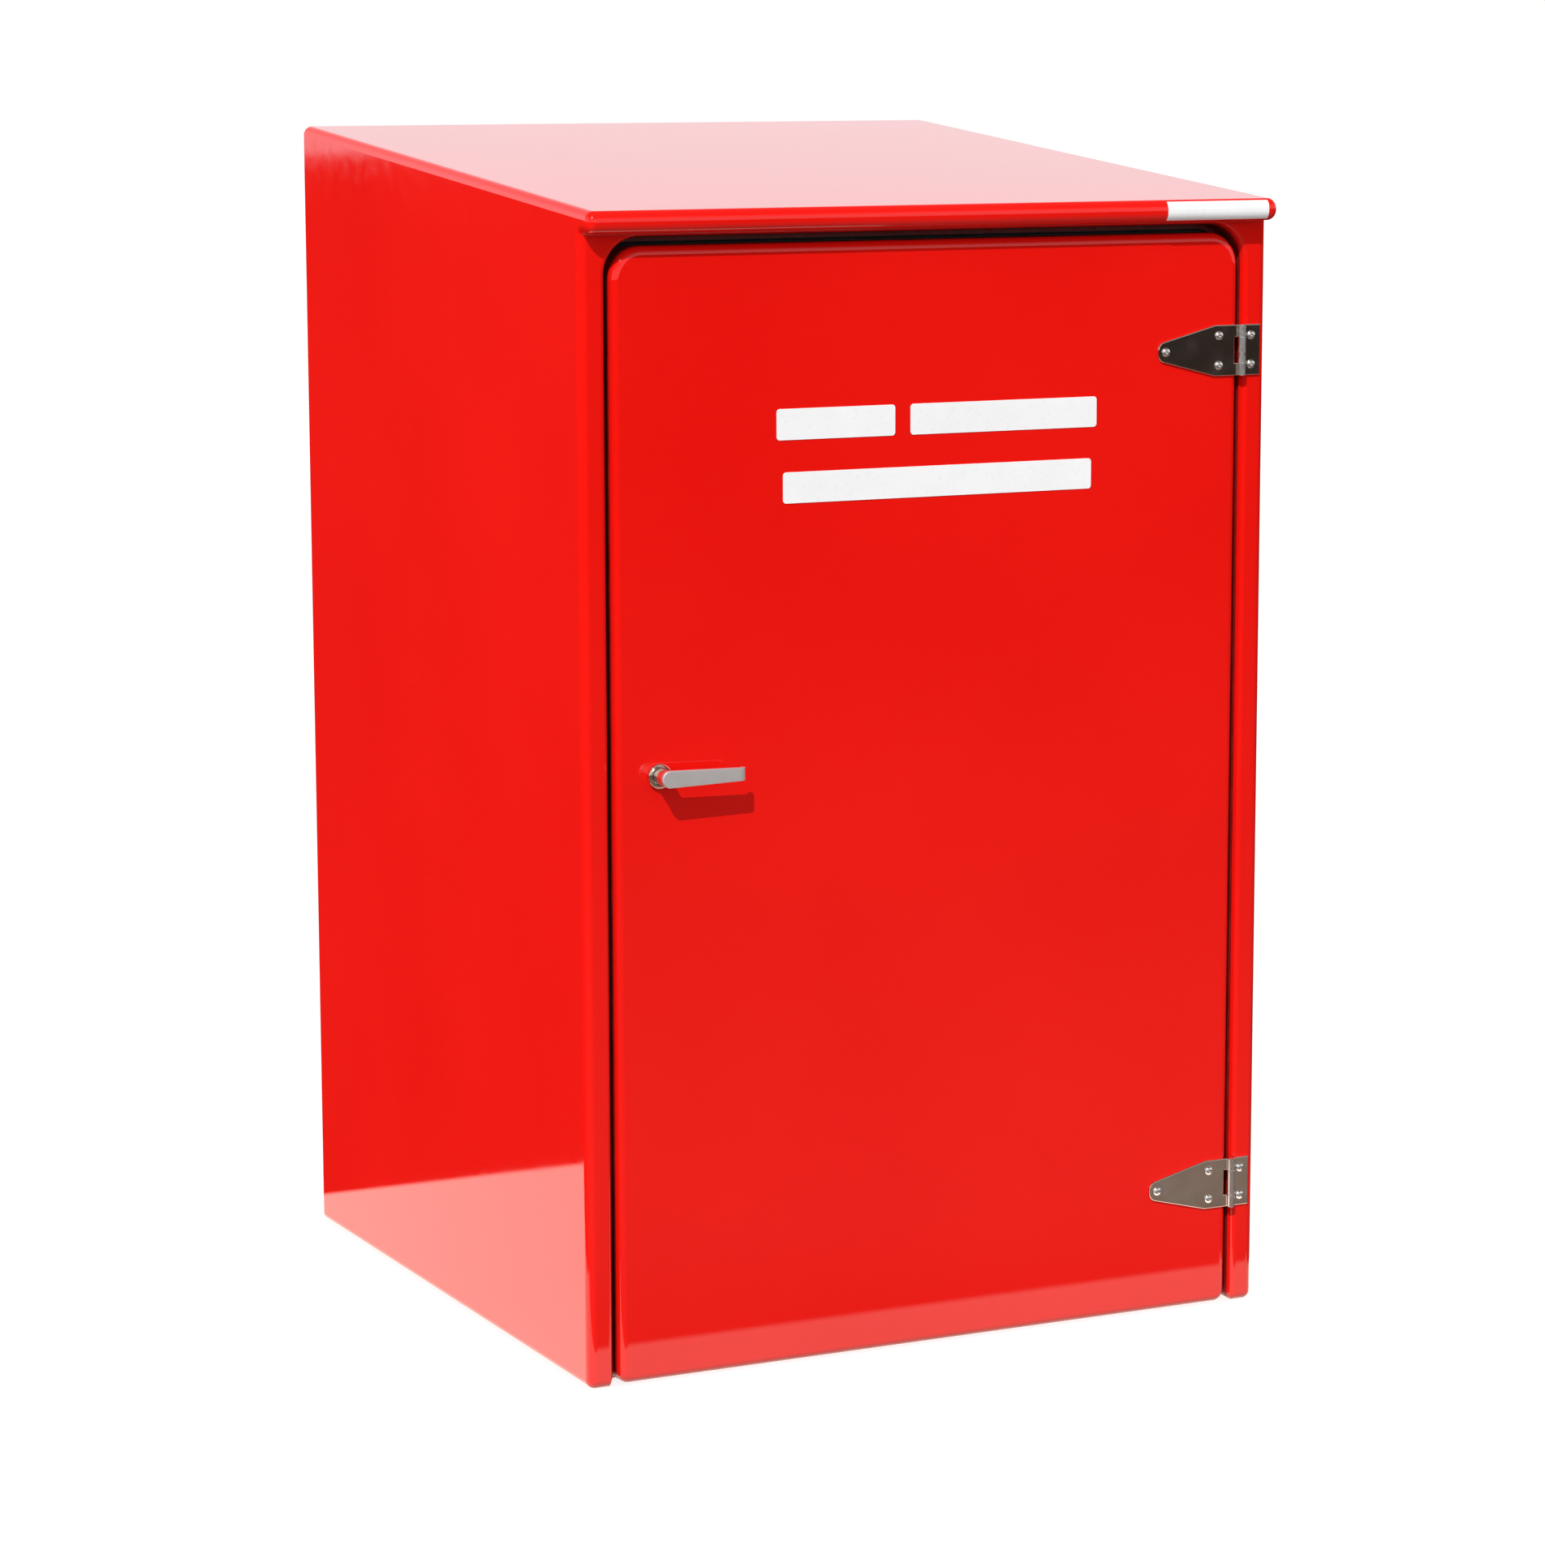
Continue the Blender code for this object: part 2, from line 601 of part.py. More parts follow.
def make_lever():
    """A flat tapering bar with a round root on a neck. Its free end curls back towards the door."""
    middle = (LEVER_FRONT + LEVER_BACK) / 2
    curl_steps = 4
    path = [(0.0, middle, 0.0), (LEVER_FLAT * 0.5, middle, 0.0), (LEVER_FLAT, middle, 0.0)]
    for step in range(1, curl_steps + 1):
        angle = LEVER_CURL * step / curl_steps
        reach = LEVER_FLAT + LEVER_CURL_RADIUS * math.sin(angle)
        path.append((reach, middle + LEVER_CURL_RADIUS * (1 - math.cos(angle)), angle))
    shape = bmesh.new()
    rings = []
    for reach, y, angle in path:
        share = min(reach / LEVER_FLAT, 1.0)
        half_height = (LEVER_ROOT_HEIGHT * (1 - share) + LEVER_END_HEIGHT * share) / 2
        across = Vector((-math.sin(angle), math.cos(angle), 0)) * LEVER_THICKNESS / 2
        rise = Vector((0, 0, half_height))
        centre = Vector((HANDLE_X + reach, y, HANDLE_HEIGHT))
        corners = ((-1, -1), (1, -1), (1, 1), (-1, 1))
        rings.append([shape.verts.new(centre + across * side + rise * up) for side, up in corners])
    for near, far in zip(rings, rings[1:]):
        for index in range(4):
            follow = (index + 1) % 4
            shape.faces.new((near[index], far[index], far[follow], near[follow]))
    shape.faces.new(rings[0])
    shape.faces.new(rings[-1][::-1])
    bmesh.ops.recalc_face_normals(shape, faces=shape.faces)
    mesh = bpy.data.meshes.new("lever_handle")
    shape.to_mesh(mesh)
    shape.free()
    lever = mesh_object("lever_handle", mesh, PARTS, POLISHED_STEEL)
    root = circle(HANDLE_X, HANDLE_HEIGHT, LEVER_ROOT_HEIGHT / 2, 28)
    neck = circle(HANDLE_X, HANDLE_HEIGHT, NECK_RADIUS, 28)
    neck_front = LEVER_BACK - LEVER_THICKNESS / 2
    neck_back = FRONT - ROSE_THICKNESS - 2 * FIT_GAP
    boolean(lever, panel("lever_root", root, LEVER_FRONT, LEVER_BACK), "UNION")
    boolean(lever, panel("lever_neck", neck, neck_front, neck_back), "UNION")
    socket_front = LEVER_BACK + SOCKET_DEPTH
    hole("spindle_socket", HANDLE_X, HANDLE_HEIGHT, SPINDLE_RADIUS + FIT_GAP, socket_front, FRONT, [lever])
    return lever


def make_strike(shell):
    """The wear plate that the cam slides behind, riveted to the back of the doorway's stop."""
    left = -DOORWAY_HALF + 0.0015
    right = -DOORWAY_HALF + STOP_WIDTH - 0.0005
    low = HANDLE_HEIGHT - STRIKE_HALF_HEIGHT
    outline = rounded_plate(left, right, low, HANDLE_HEIGHT + STRIKE_HALF_HEIGHT, STRIKE_THICKNESS * 2)
    strike = panel("latch_strike", outline, STOP_BACK + FIT_GAP, STRIKE_BACK, SATIN_STEEL)
    x = -DOORWAY_HALF + STOP_WIDTH / 2
    rivet_profile = [
        (0, RIVET_LENGTH), (RIVET_RADIUS, RIVET_LENGTH), (RIVET_RADIUS, 0), (RIVET_HEAD_RADIUS, 0),
        (RIVET_HEAD_RADIUS * 0.7, -0.001), (0, -0.0012),
    ]
    for end, offset in (("top", RIVET_OFFSET), ("bottom", -RIVET_OFFSET)):
        z = HANDLE_HEIGHT + offset
        turned(f"strike_{end}_rivet", rivet_profile, (x, STRIKE_BACK + FIT_GAP, z), SATIN_STEEL, steps=16)
        hole(f"{end}_rivet_hole", x, z, RIVET_RADIUS + FIT_GAP, STOP_FACE - 0.002, STRIKE_BACK + 0.002,
             [strike, shell])


def make_legend():
    """Plain white bars in place of a worded legend, one for each word."""
    bars = []
    back = FRONT - FIT_GAP
    for name, (left, right, middle) in LEGEND_BARS.items():
        low = middle - LEGEND_HEIGHT / 2
        outline = rounded_plate(left, right, low, low + LEGEND_HEIGHT, SMALL_CORNER)
        bars.append(panel(f"legend_bar_{name}", outline, back - VINYL_THICKNESS, back, WHITE_VINYL))
    return bars


def make_label():
    """A blank label that wraps the front of the lip near its right end."""
    y = FRONT - LIP_REACH + LIP_RADIUS
    low = LIP_UNDERSIDE + LIP_RADIUS
    high = FRONT_HEIGHT + LIP_RADIUS * (ROOF_SLOPE - math.hypot(1, ROOF_SLOPE))
    steps = 4
    bends = ((low, math.pi + LABEL_WRAP, math.pi), (high, math.pi, math.pi - LABEL_WRAP))
    sides = []
    for radius in (LIP_RADIUS + FIT_GAP, LIP_RADIUS + FIT_GAP + VINYL_THICKNESS):
        side = []
        for middle, start, end in bends:
            for step in range(steps + 1):
                angle = start + (end - start) * step / steps
                side.append(Vector((y + radius * math.cos(angle), middle + radius * math.sin(angle))))
        sides.append(side)
    outline = sides[0] + sides[1][::-1]
    right = HALF_WIDTH - EDGE_RADIUS - LABEL_SETBACK
    return section("lip_label", outline, right - LABEL_LENGTH, right, WHITE_VINYL)


def hang_door_side(side, middle, core, skin, shell):
    """One hinge with its backing plates and screws. Returns the pieces that swing with the door."""
    strap, leaf = make_hinge(side, middle)
    left = PIN_X - STRAP_LENGTH
    right = PIN_X - 0.022
    door_plate = make_backing_plate(side + "_door_backing_plate", left, right, middle)
    jamb_plate = make_backing_plate(side + "_jamb_backing_plate", DOORWAY_HALF + WALL + 2 * FIT_GAP,
                                    HALF_WIDTH - 2 * WALL + 0.001, middle)
    grow = PLATE_POCKET_GAP
    pocket = rounded_plate(left - grow, right + grow, middle - PLATE_HALF_HEIGHT - grow,
                           middle + PLATE_HALF_HEIGHT + grow, SMALL_CORNER)
    boolean(core, panel(side + "_plate_pocket", pocket, FRONT, PLATE_BACK + 2 * grow))
    swinging = [strap, door_plate]
    for bolts, place, targets in (
        (DOOR_BOLTS, "door", [strap, skin, door_plate]),
        (JAMB_BOLTS, "jamb", [leaf, shell, jamb_plate]),
    ):
        for end, (x, z) in bolts.items():
            bolt = make_bolt(f"{side}_{place}_bolt_{end}", PIN_X + x, middle + z)
            hole(bolt.name + "_hole", PIN_X + x, middle + z, BOLT_HOLE_RADIUS, LEAF_FRONT - 0.005,
                 PLATE_BACK + 0.002, targets)
            if place == "door":
                swinging.append(bolt)
    return swinging


def make_cabinet():
    shell = make_shell()
    skin, core, liner = make_door()
    make_seal()
    door_pieces = [skin, core, liner, *make_legend()]
    for side, middle in HINGE_HEIGHTS.items():
        door_pieces += hang_door_side(side, middle, core, skin, shell)
    fixed, turning = make_latch()
    door_pieces += fixed
    make_strike(shell)
    make_label()
    door_axis = axis_empty("door_axis", (PIN_X, PIN_Y, 0))
    handle_axis = axis_empty("handle_axis", (HANDLE_X, FRONT, HANDLE_HEIGHT))
    hang(door_pieces, door_axis)
    hang(turning, handle_axis)
    hang([handle_axis], door_axis)


make_cabinet()
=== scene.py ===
"""Finish for a moulded cabinet that houses a wheeled fire extinguisher: polished red gel coat outside,
pale flow coat inside, polished strap hinges with domed socket screws, a satin lever latch and white vinyl.
Metres, +Z up, the door faces -Y and is hung at +X.
"""

import json
import math

import bmesh
import bpy
import numpy as np
from mathutils import Matrix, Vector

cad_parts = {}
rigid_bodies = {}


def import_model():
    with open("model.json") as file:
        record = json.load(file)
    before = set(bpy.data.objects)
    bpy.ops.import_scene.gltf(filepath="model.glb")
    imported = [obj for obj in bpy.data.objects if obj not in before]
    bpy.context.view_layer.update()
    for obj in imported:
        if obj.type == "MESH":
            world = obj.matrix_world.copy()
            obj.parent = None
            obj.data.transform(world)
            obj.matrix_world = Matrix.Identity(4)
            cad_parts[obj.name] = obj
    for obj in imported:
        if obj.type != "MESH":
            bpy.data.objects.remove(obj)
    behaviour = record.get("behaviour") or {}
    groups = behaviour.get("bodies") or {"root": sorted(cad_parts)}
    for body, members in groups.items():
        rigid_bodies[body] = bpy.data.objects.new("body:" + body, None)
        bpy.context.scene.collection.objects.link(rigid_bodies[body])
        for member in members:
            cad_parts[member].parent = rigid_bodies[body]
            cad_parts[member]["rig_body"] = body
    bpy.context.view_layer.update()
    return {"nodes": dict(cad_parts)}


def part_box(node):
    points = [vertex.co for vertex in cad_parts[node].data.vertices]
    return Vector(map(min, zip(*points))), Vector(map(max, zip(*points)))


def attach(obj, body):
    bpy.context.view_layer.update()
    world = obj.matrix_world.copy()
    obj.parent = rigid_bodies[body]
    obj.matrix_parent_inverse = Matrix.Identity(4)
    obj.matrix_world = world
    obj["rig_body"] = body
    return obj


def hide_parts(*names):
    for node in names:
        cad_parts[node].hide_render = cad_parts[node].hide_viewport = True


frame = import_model()

# Places read from the frame
SHELL_LOW, SHELL_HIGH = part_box("cabinet_shell")
DOOR_LOW, DOOR_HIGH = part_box("door_skin")
PIN_LOW, PIN_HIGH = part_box("upper_hinge_pin")
SPINDLE_LOW, SPINDLE_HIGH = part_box("handle_spindle")
LEVER_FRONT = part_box("lever_handle")[0].y
ROSE_LOW, ROSE_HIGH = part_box("handle_rose")
LABEL_LOW, LABEL_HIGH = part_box("lip_label")

# Mouldings
FRONT = DOOR_LOW.y
BACK = SHELL_HIGH.y
HALF_WIDTH = SHELL_HIGH.x
FRONT_HEIGHT = 1.360
BACK_HEIGHT = 1.443
LIP_REACH = FRONT - SHELL_LOW.y
LIP_HEIGHT = 0.0255
LIP_RADIUS = 0.012
LIP_ROOT_RADIUS = 0.002
EDGE_RADIUS = 0.011
WALL = 0.005
DOOR_GAP = 0.005
HEAD_GAP = 0.010
DOORWAY_HALF = DOOR_HIGH.x + DOOR_GAP
DOORWAY_TOP = DOOR_HIGH.z + HEAD_GAP
DOORWAY_RADIUS = 0.043
DOORWAY_FLARE = 0.009
FLARE_DEPTH = 0.016
LINTEL_FLARE = 0.0035
JAMB_FOOT_RADIUS = 0.011
JAMB_FOOT_SINK = 0.0004
FRAME_SINK = 0.7 * WALL
CUT_SPARE = 0.001
CUT_BELOW = 0.020
REVEAL_DEPTH = 0.040
REVEAL_MOUTH = 0.0045
STOP_FACE = FRONT + REVEAL_DEPTH
STOP_BACK = STOP_FACE + WALL
STOP_WIDTH = 0.020
ROOF_SLOPE = (BACK_HEIGHT - FRONT_HEIGHT) / (BACK - FRONT + LIP_REACH)
DOOR_TOP_RADIUS = 0.038
DOOR_BOTTOM_RADIUS = 0.014
DOOR_EDGE_RADIUS = 0.010
DOOR_RIM_CHAMFER = 0.0008
SEAL_SETBACK = 0.006
SEAL_WIDTH = 0.012
SEAL_FOOT = WALL + 0.003
SEAL_EDGE = 0.0012
SEAL_SHOULDER = 0.0016
SEAL_BULB_SHARE = 0.82
FIT_GAP = 0.0003
TOLERANCE = 0.0001
MERGE_DISTANCE = 2e-6

# Hinges
PIN_X = (PIN_LOW.x + PIN_HIGH.x) / 2
PIN_Y = (PIN_LOW.y + PIN_HIGH.y) / 2
PIN_RADIUS = (PIN_HIGH.x - PIN_LOW.x) / 2
KNUCKLE_RADIUS = 0.0048
LEAF_BACK = FRONT - FIT_GAP
LEAF_THICKNESS = 0.0025
LEAF_FRONT = LEAF_BACK - LEAF_THICKNESS
LEAF_HALF = (PIN_HIGH.z - PIN_LOW.z) / 2
SLOT_HALF = 0.0155
LEAF_RIM = 0.0011
LEAF_ROOT = 0.0022
STRAP_LENGTH = 0.1145
STRAP_SHOULDER = 0.036
STRAP_SHOULDER_RADIUS = 0.004
STRAP_TIP_RADIUS = 0.0098
STRAP_TIP_HALF = 0.01029
SLOT_DEPTH = 0.004
SLOT_CORNER = 0.0006
JAMB_LEAF_LENGTH = 0.0265
JAMB_LEAF_CORNER = 0.0012
JAMB_NOTCH_CORNER = 0.0008
KNUCKLE_CHAMFER = 0.0004
PIN_CHAMFER = 0.0004
SCREW_HEAD = 0.00525
SCREW_RISE = 0.0033
SCREW_SHANK = 0.003
SCREW_DEPTH = 0.0135
SCREW_RIM_SHARE = 0.25
SOCKET_MOUTH_SHARE = 0.46
SOCKET_LIP = 0.00004
SOCKET_POINT = 0.0002
SOCKET_HALF = 0.0020
SOCKET_DEPTH = 0.0019

# Latch
HANDLE_X = (SPINDLE_LOW.x + SPINDLE_HIGH.x) / 2
HANDLE_Z = (SPINDLE_LOW.z + SPINDLE_HIGH.z) / 2
SPINDLE_RADIUS = (SPINDLE_HIGH.x - SPINDLE_LOW.x) / 2
LEVER_THICKNESS = 0.006
LEVER_ROOT = 0.010
LEVER_END = 0.0078
LEVER_FLAT = 0.088
LEVER_RIM = 0.0009
LEVER_CORNER = 0.0008
CURL_RADIUS = 0.006
CURL = math.radians(75)
NECK_RADIUS = 0.0093
NECK_FILLET = 0.0008
NECK_STANDOFF = 0.0056
NECK_OVERLAP = 0.0030
SPINDLE_SOCKET = 0.0095
ROSE_RADIUS = (ROSE_HIGH.x - ROSE_LOW.x) / 2
ROSE_THICKNESS = 0.005
ROSE_ROUND = 0.0012
ROSE_DISH = 0.0016
ROSE_DISH_LIP = 0.0002
NECK_CLEARANCE = 0.0006
BARREL_RADIUS = 0.0105

# Markings
VINYL_THICKNESS = 0.0004
VINYL_RIM = 0.00012
VINYL_CORNER = 0.004
LABEL_WRAP = math.radians(50)

# Studio
CAMERA_PLACE = (-2.4969, FRONT - 4.7136, 1.5375)
CAMERA_YAW = math.radians(25.864)
CAMERA_PITCH = math.radians(9.115)
CAMERA_ROLL = math.radians(-0.163)
CAMERA_LENS = 105.11
CAMERA_SENSOR = 36.0
KEY_LIGHT = {"azimuth": 40.4, "elevation": 45, "strength": 2.9, "spread": 0.6}
SIDE_FILL = {"azimuth": 95, "elevation": 15, "strength": 1.05, "spread": 40.0, "glint": False}
REAR_FILL = {"azimuth": 215, "elevation": 12, "strength": 0.9, "spread": 40.0, "glint": False}
FLOOR_SIZE = 60.0
FLOOR_COLOUR = (0.5, 0.5, 0.5)
FLOOR_SHINE_COLOUR = (1.0, 0.83, 0.74)
APRON_MIDDLE = -0.175
APRON_HALF_WIDTH = 0.775
APRON_HALF_DEPTH = 0.575
APRON_BLEND = 0.02
APRON_GLOW = 1.6
SIDE_APRON_GLOW = 2.2
FAR_FLOOR_GLOW = 0.26
FAR_FLOOR_FADE = 3.0
FAR_FLOOR_LEAST = 0.03
FLOOR_LIFT = 0.85
HORIZON_LIGHT = 1.1
ZENITH_LIGHT = 0.30
HORIZON_SHINE = 1.15
ZENITH_SHINE = 0.15
FRONT_SHINE = 0.75
REAR_SHINE_COLOUR = (0.72, 0.96, 0.99)
SHINE_FALL = (0.28, 0.65)
FRONT_TO_SIDE = (-0.2, 0.3)
SIDE_TO_REAR = (0.2, 0.5)

STEPS = 12
CREASE_ANGLE = math.radians(32)
BROKEN_EDGE_ANGLE = math.radians(40)


# Surfaces -----------------------------------------------------------------------------------------


def unit(vectors):
    return vectors / np.linalg.norm(vectors, axis=-1, keepdims=True)


def outline(corners, depth=0.0):
    """A rounded polygon from (x, y, radius) corners listed anticlockwise, with each side moved in by depth.

    A corner moves by depth (n1 + n2) / (1 + n1.n2), n being its two sides' inward normals. Its arc touches
    both sides: the centre lies on the bisector at radius / sin(half angle). A hollow corner's radius grows
    with depth.
    """
    table = np.array(corners, float)
    points, radii = table[:, :2], table[:, 2]
    ahead = unit(np.roll(points, -1, axis=0) - points)
    inward = np.stack([-ahead[:, 1], ahead[:, 0]], axis=1)
    previous = np.roll(inward, 1, axis=0)
    behind = -np.roll(ahead, 1, axis=0)
    turn = -behind[:, 0] * ahead[:, 1] + behind[:, 1] * ahead[:, 0]
    alike = np.sum(inward * previous, axis=1, keepdims=True)
    points = points + depth * (inward + previous) / (1 + alike)
    radii = np.maximum(radii - depth * np.sign(turn), 0) * (table[:, 2] > 0)
    half = np.arccos(np.clip(np.sum(ahead * behind, axis=1), -1, 1)) / 2
    centre = points + unit(ahead + behind) * (radii / np.sin(half))[:, None]
    first = -previous * np.sign(turn)[:, None]
    start = np.arctan2(first[:, 1], first[:, 0])
    sweep = (math.pi - 2 * half) * np.sign(turn)
    angles = start[:, None] + sweep[:, None] * np.linspace(0, 1, STEPS + 1)
    arcs = np.stack([np.cos(angles), np.sin(angles)], axis=-1)
    return (centre[:, None, :] + radii[:, None, None] * arcs).reshape(-1, 2)


def quarter(radius, steps=STEPS):
    """A quarter round from a flat face to a side: inset radius (1 - sin a), drop radius (1 - cos a)."""
    a = np.linspace(0, math.pi / 2, steps + 1)
    return np.stack([radius * (1 - np.sin(a)), radius * (1 - np.cos(a))], axis=1)


def skin(rings, capped=True, wrapped=False):
    """Faces over a grid of rings: ring i joins ring i + 1, and a point joins the next one round its ring."""
    rings = np.asarray(rings, float)
    count, size = rings.shape[:2]
    index = np.arange(count * size).reshape(count, size)
    near = index if wrapped else index[:-1]
    far = np.roll(index, -1, axis=0) if wrapped else index[1:]
    quads = np.stack([near, np.roll(near, -1, axis=1), np.roll(far, -1, axis=1), far], axis=-1)
    faces = quads.reshape(-1, 4).tolist()
    if capped and not wrapped:
        faces += [index[0][::-1].tolist(), index[-1].tolist()]
    return rings.reshape(-1, 3), faces


def upright(ring, y):
    """An outline of (x, z) points stood up at one y."""
    return np.stack([ring[:, 0], np.full(len(ring), y), ring[:, 1]], axis=1)


def plate(corners, profile):
    """A solid facing the front: a profile of (inset, y) pairs carried round a rounded outline in x, z."""
    return skin([upright(outline(corners, depth), y) for depth, y in profile])


def flat_bar(corners, front, back, front_rim, back_rim=0.0002):
    """A flat plate whose front and back edges are quarter rounds."""
    face = quarter(front_rim, 4) + [0, front]
    rear = (quarter(back_rim, 2) * [1, -1] + [0, back])[::-1]
    return plate(corners, np.concatenate([face, rear]))


def turned(profile, centre, axis="y", steps=48):
    """A profile of (radius, place on the axis) turned about that axis. A closed ring profile wraps round."""
    profile = np.asarray(profile, float)
    angle = np.linspace(0, 2 * math.pi, steps, endpoint=False)
    across = profile[:, :1] * np.cos(angle)
    up = profile[:, :1] * np.sin(angle)
    along = np.repeat(profile[:, 1:], steps, axis=1)
    order = {"y": (across, along, up), "z": (across, up, along)}[axis]
    rings = np.stack(order, axis=-1) + np.array(centre, float)
    ring_shaped = bool(profile[0, 0] > 0 and profile[-1, 0] > 0)
    return skin(rings, capped=False, wrapped=ring_shaped)


def together(*solids):
    """Several solids as one set of points and faces."""
    points, faces, offset = [], [], 0
    for more_points, more_faces in solids:
        points.append(more_points)
        faces += [[offset + corner for corner in face] for face in more_faces]
        offset += len(more_points)
    return np.concatenate(points), faces


def mesh_of(name, solid):
    """A closed mesh with its doubles merged, flat slivers dropped and faces turned outwards."""
    points, faces = solid
    mesh = bpy.data.meshes.new(name)
    mesh.from_pydata(points.tolist(), [], faces)
    shape = bmesh.new()
    shape.from_mesh(mesh)
    bmesh.ops.remove_doubles(shape, verts=shape.verts, dist=MERGE_DISTANCE)
    bmesh.ops.dissolve_degenerate(shape, edges=shape.edges, dist=1e-7)
    bmesh.ops.recalc_face_normals(shape, faces=shape.faces)
    shape.to_mesh(mesh)
    shape.free()
    return mesh


def carved(name, base, steps):
    """A solid after Boolean steps, each a pair of operation and solid, with every modifier applied."""
    work = bpy.data.objects.new(name, mesh_of(name, base))
    bpy.context.scene.collection.objects.link(work)
    tools = []
    for operation, solid in steps:
        tool = bpy.data.objects.new(name + "_tool", mesh_of(name + "_tool", solid))
        bpy.context.scene.collection.objects.link(tool)
        step = work.modifiers.new(operation, "BOOLEAN")
        step.operation = operation
        step.object = tool
        tools.append(tool)
    bpy.context.view_layer.update()
    graph = bpy.context.evaluated_depsgraph_get()
    mesh = bpy.data.meshes.new_from_object(work.evaluated_get(graph))
    for spent in [work, *tools]:
        bpy.data.objects.remove(spent)
    return mesh


def face_centres(mesh):
    centres = np.empty(len(mesh.polygons) * 3)
    mesh.polygons.foreach_get("center", centres)
    return centres.reshape(-1, 3).T


def refinish(mesh, chosen, finish):
    """The chosen faces of a settled mesh take another finish."""
    index = np.empty(len(mesh.polygons), np.int32)
    mesh.polygons.foreach_get("material_index", index)
    index[chosen] = len(mesh.materials)
    mesh.materials.append(finish)
    mesh.polygons.foreach_set("material_index", index)


def settle(name, mesh, finish, body, nodes):
    """Puts a mesh in the scene: shading, material, the body it rides on and the nodes it stands for."""
    mesh.materials.clear()
    mesh.materials.append(finish)
    mesh.shade_smooth()
    mesh.set_sharp_from_angle(angle=CREASE_ANGLE)
    piece = bpy.data.objects.new(name, mesh)
    bpy.context.scene.collection.objects.link(piece)
    even = piece.modifiers.new("even_shading", "WEIGHTED_NORMAL")
    even.keep_sharp = True
    even.weight = 100
    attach(piece, body)
    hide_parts(*nodes)
    return piece


def softened(name, node, rim, finish, body):
    """A hard-edged fitting with its edges broken: the node's own mesh, merged, then bevelled by rim."""
    mesh = frame["nodes"][node].data.copy()
    shape = bmesh.new()
    shape.from_mesh(mesh)
    bmesh.ops.remove_doubles(shape, verts=shape.verts, dist=MERGE_DISTANCE)
    bmesh.ops.dissolve_limit(shape, angle_limit=math.radians(1), verts=shape.verts, edges=shape.edges)
    shape.to_mesh(mesh)
    shape.free()
    piece = settle(name, mesh, finish, body, [node])
    bevel = piece.modifiers.new("broken_edges", "BEVEL")
    bevel.width = rim
    bevel.segments = 2
    bevel.limit_method = "ANGLE"
    bevel.angle_limit = BROKEN_EDGE_ANGLE
    piece.modifiers.move(1, 0)
    return piece


# Finishes -----------------------------------------------------------------------------------------


def finish(name, colour, roughness, metallic=0.0, ior=1.5):
    made = bpy.data.materials.new(name)
    made.use_nodes = True
    shader = made.node_tree.nodes["Principled BSDF"]
    shader.inputs["Base Color"].default_value = (*colour, 1.0)
    shader.inputs["Roughness"].default_value = roughness
    shader.inputs["Metallic"].default_value = metallic
    shader.inputs["IOR"].default_value = ior
    return made


def new_node(made, kind, **inputs):
    node = made.node_tree.nodes.new(kind)
    for name, value in inputs.items():
        node.inputs[name.replace("_", " ")].default_value = value
    return node


def grain(made, scale, detail=2.0, stretch=(1, 1, 1), turn=(0, 0, 0), distortion=0.0):
    """Noise on the piece's own coordinates: scale is its number of features in a metre, unstretched."""
    place = new_node(made, "ShaderNodeTexCoord")
    mapping = new_node(made, "ShaderNodeMapping", Scale=stretch, Rotation=turn)
    noise = new_node(made, "ShaderNodeTexNoise", Scale=scale, Detail=detail, Distortion=distortion)
    made.node_tree.links.new(place.outputs["Object"], mapping.inputs["Vector"])
    made.node_tree.links.new(mapping.outputs["Vector"], noise.inputs["Vector"])
    return noise.outputs["Fac"]


def span(made, source, low, high, start=0.3, end=0.7):
    """A value that goes from low to high as the source goes from start to end."""
    node = new_node(made, "ShaderNodeMapRange")
    for name, value in (("From Min", start), ("From Max", end), ("To Min", low), ("To Max", high)):
        node.inputs[name].default_value = value
    made.node_tree.links.new(source, node.inputs["Value"])
    return node.outputs["Result"]


def tint(made, source, low, high):
    """The base colour goes from one colour to another as the source goes from 0.3 to 0.7."""
    mix = new_node(made, "ShaderNodeMix")
    mix.data_type = "RGBA"
    mix.inputs[6].default_value = (*low, 1.0)
    mix.inputs[7].default_value = (*high, 1.0)
    made.node_tree.links.new(span(made, source, 0, 1), mix.inputs["Factor"])
    shader = made.node_tree.nodes["Principled BSDF"]
    made.node_tree.links.new(mix.outputs[2], shader.inputs["Base Color"])


def roughen(made, source, low, high):
    shader = made.node_tree.nodes["Principled BSDF"]
    made.node_tree.links.new(span(made, source, low, high), shader.inputs["Roughness"])


def relief(made, *layers):
    """Bumps stacked on one another, each a pair of height source and its depth in metres."""
    normal = None
    for source, depth in layers:
        bump = new_node(made, "ShaderNodeBump", Distance=depth)
        made.node_tree.links.new(source, bump.inputs["Height"])
        if normal:
            made.node_tree.links.new(normal, bump.inputs["Normal"])
        normal = bump.outputs["Normal"]
    made.node_tree.links.new(normal, made.node_tree.nodes["Principled BSDF"].inputs["Normal"])


def red_gelcoat():
    """Polished gel coat: deep red, with faint print-through of the glass, orange peel and polishing marks."""
    made = finish("red_gelcoat", (0.8, 0.0065, 0.0034), 0.05, ior=1.53)
    tint(made, grain(made, 3.0, 3.0), (0.80, 0.0058, 0.0030), (0.84, 0.0078, 0.0042))
    roughen(made, grain(made, 40.0, 6.0), 0.03, 0.07)
    relief(
        made,
        (grain(made, 5.0, 1.0), 0.00010),
        (grain(made, 26.0, 2.0, distortion=0.6), 0.000014),
        (grain(made, 120.0, 3.0), 0.000005),
    )
    return made


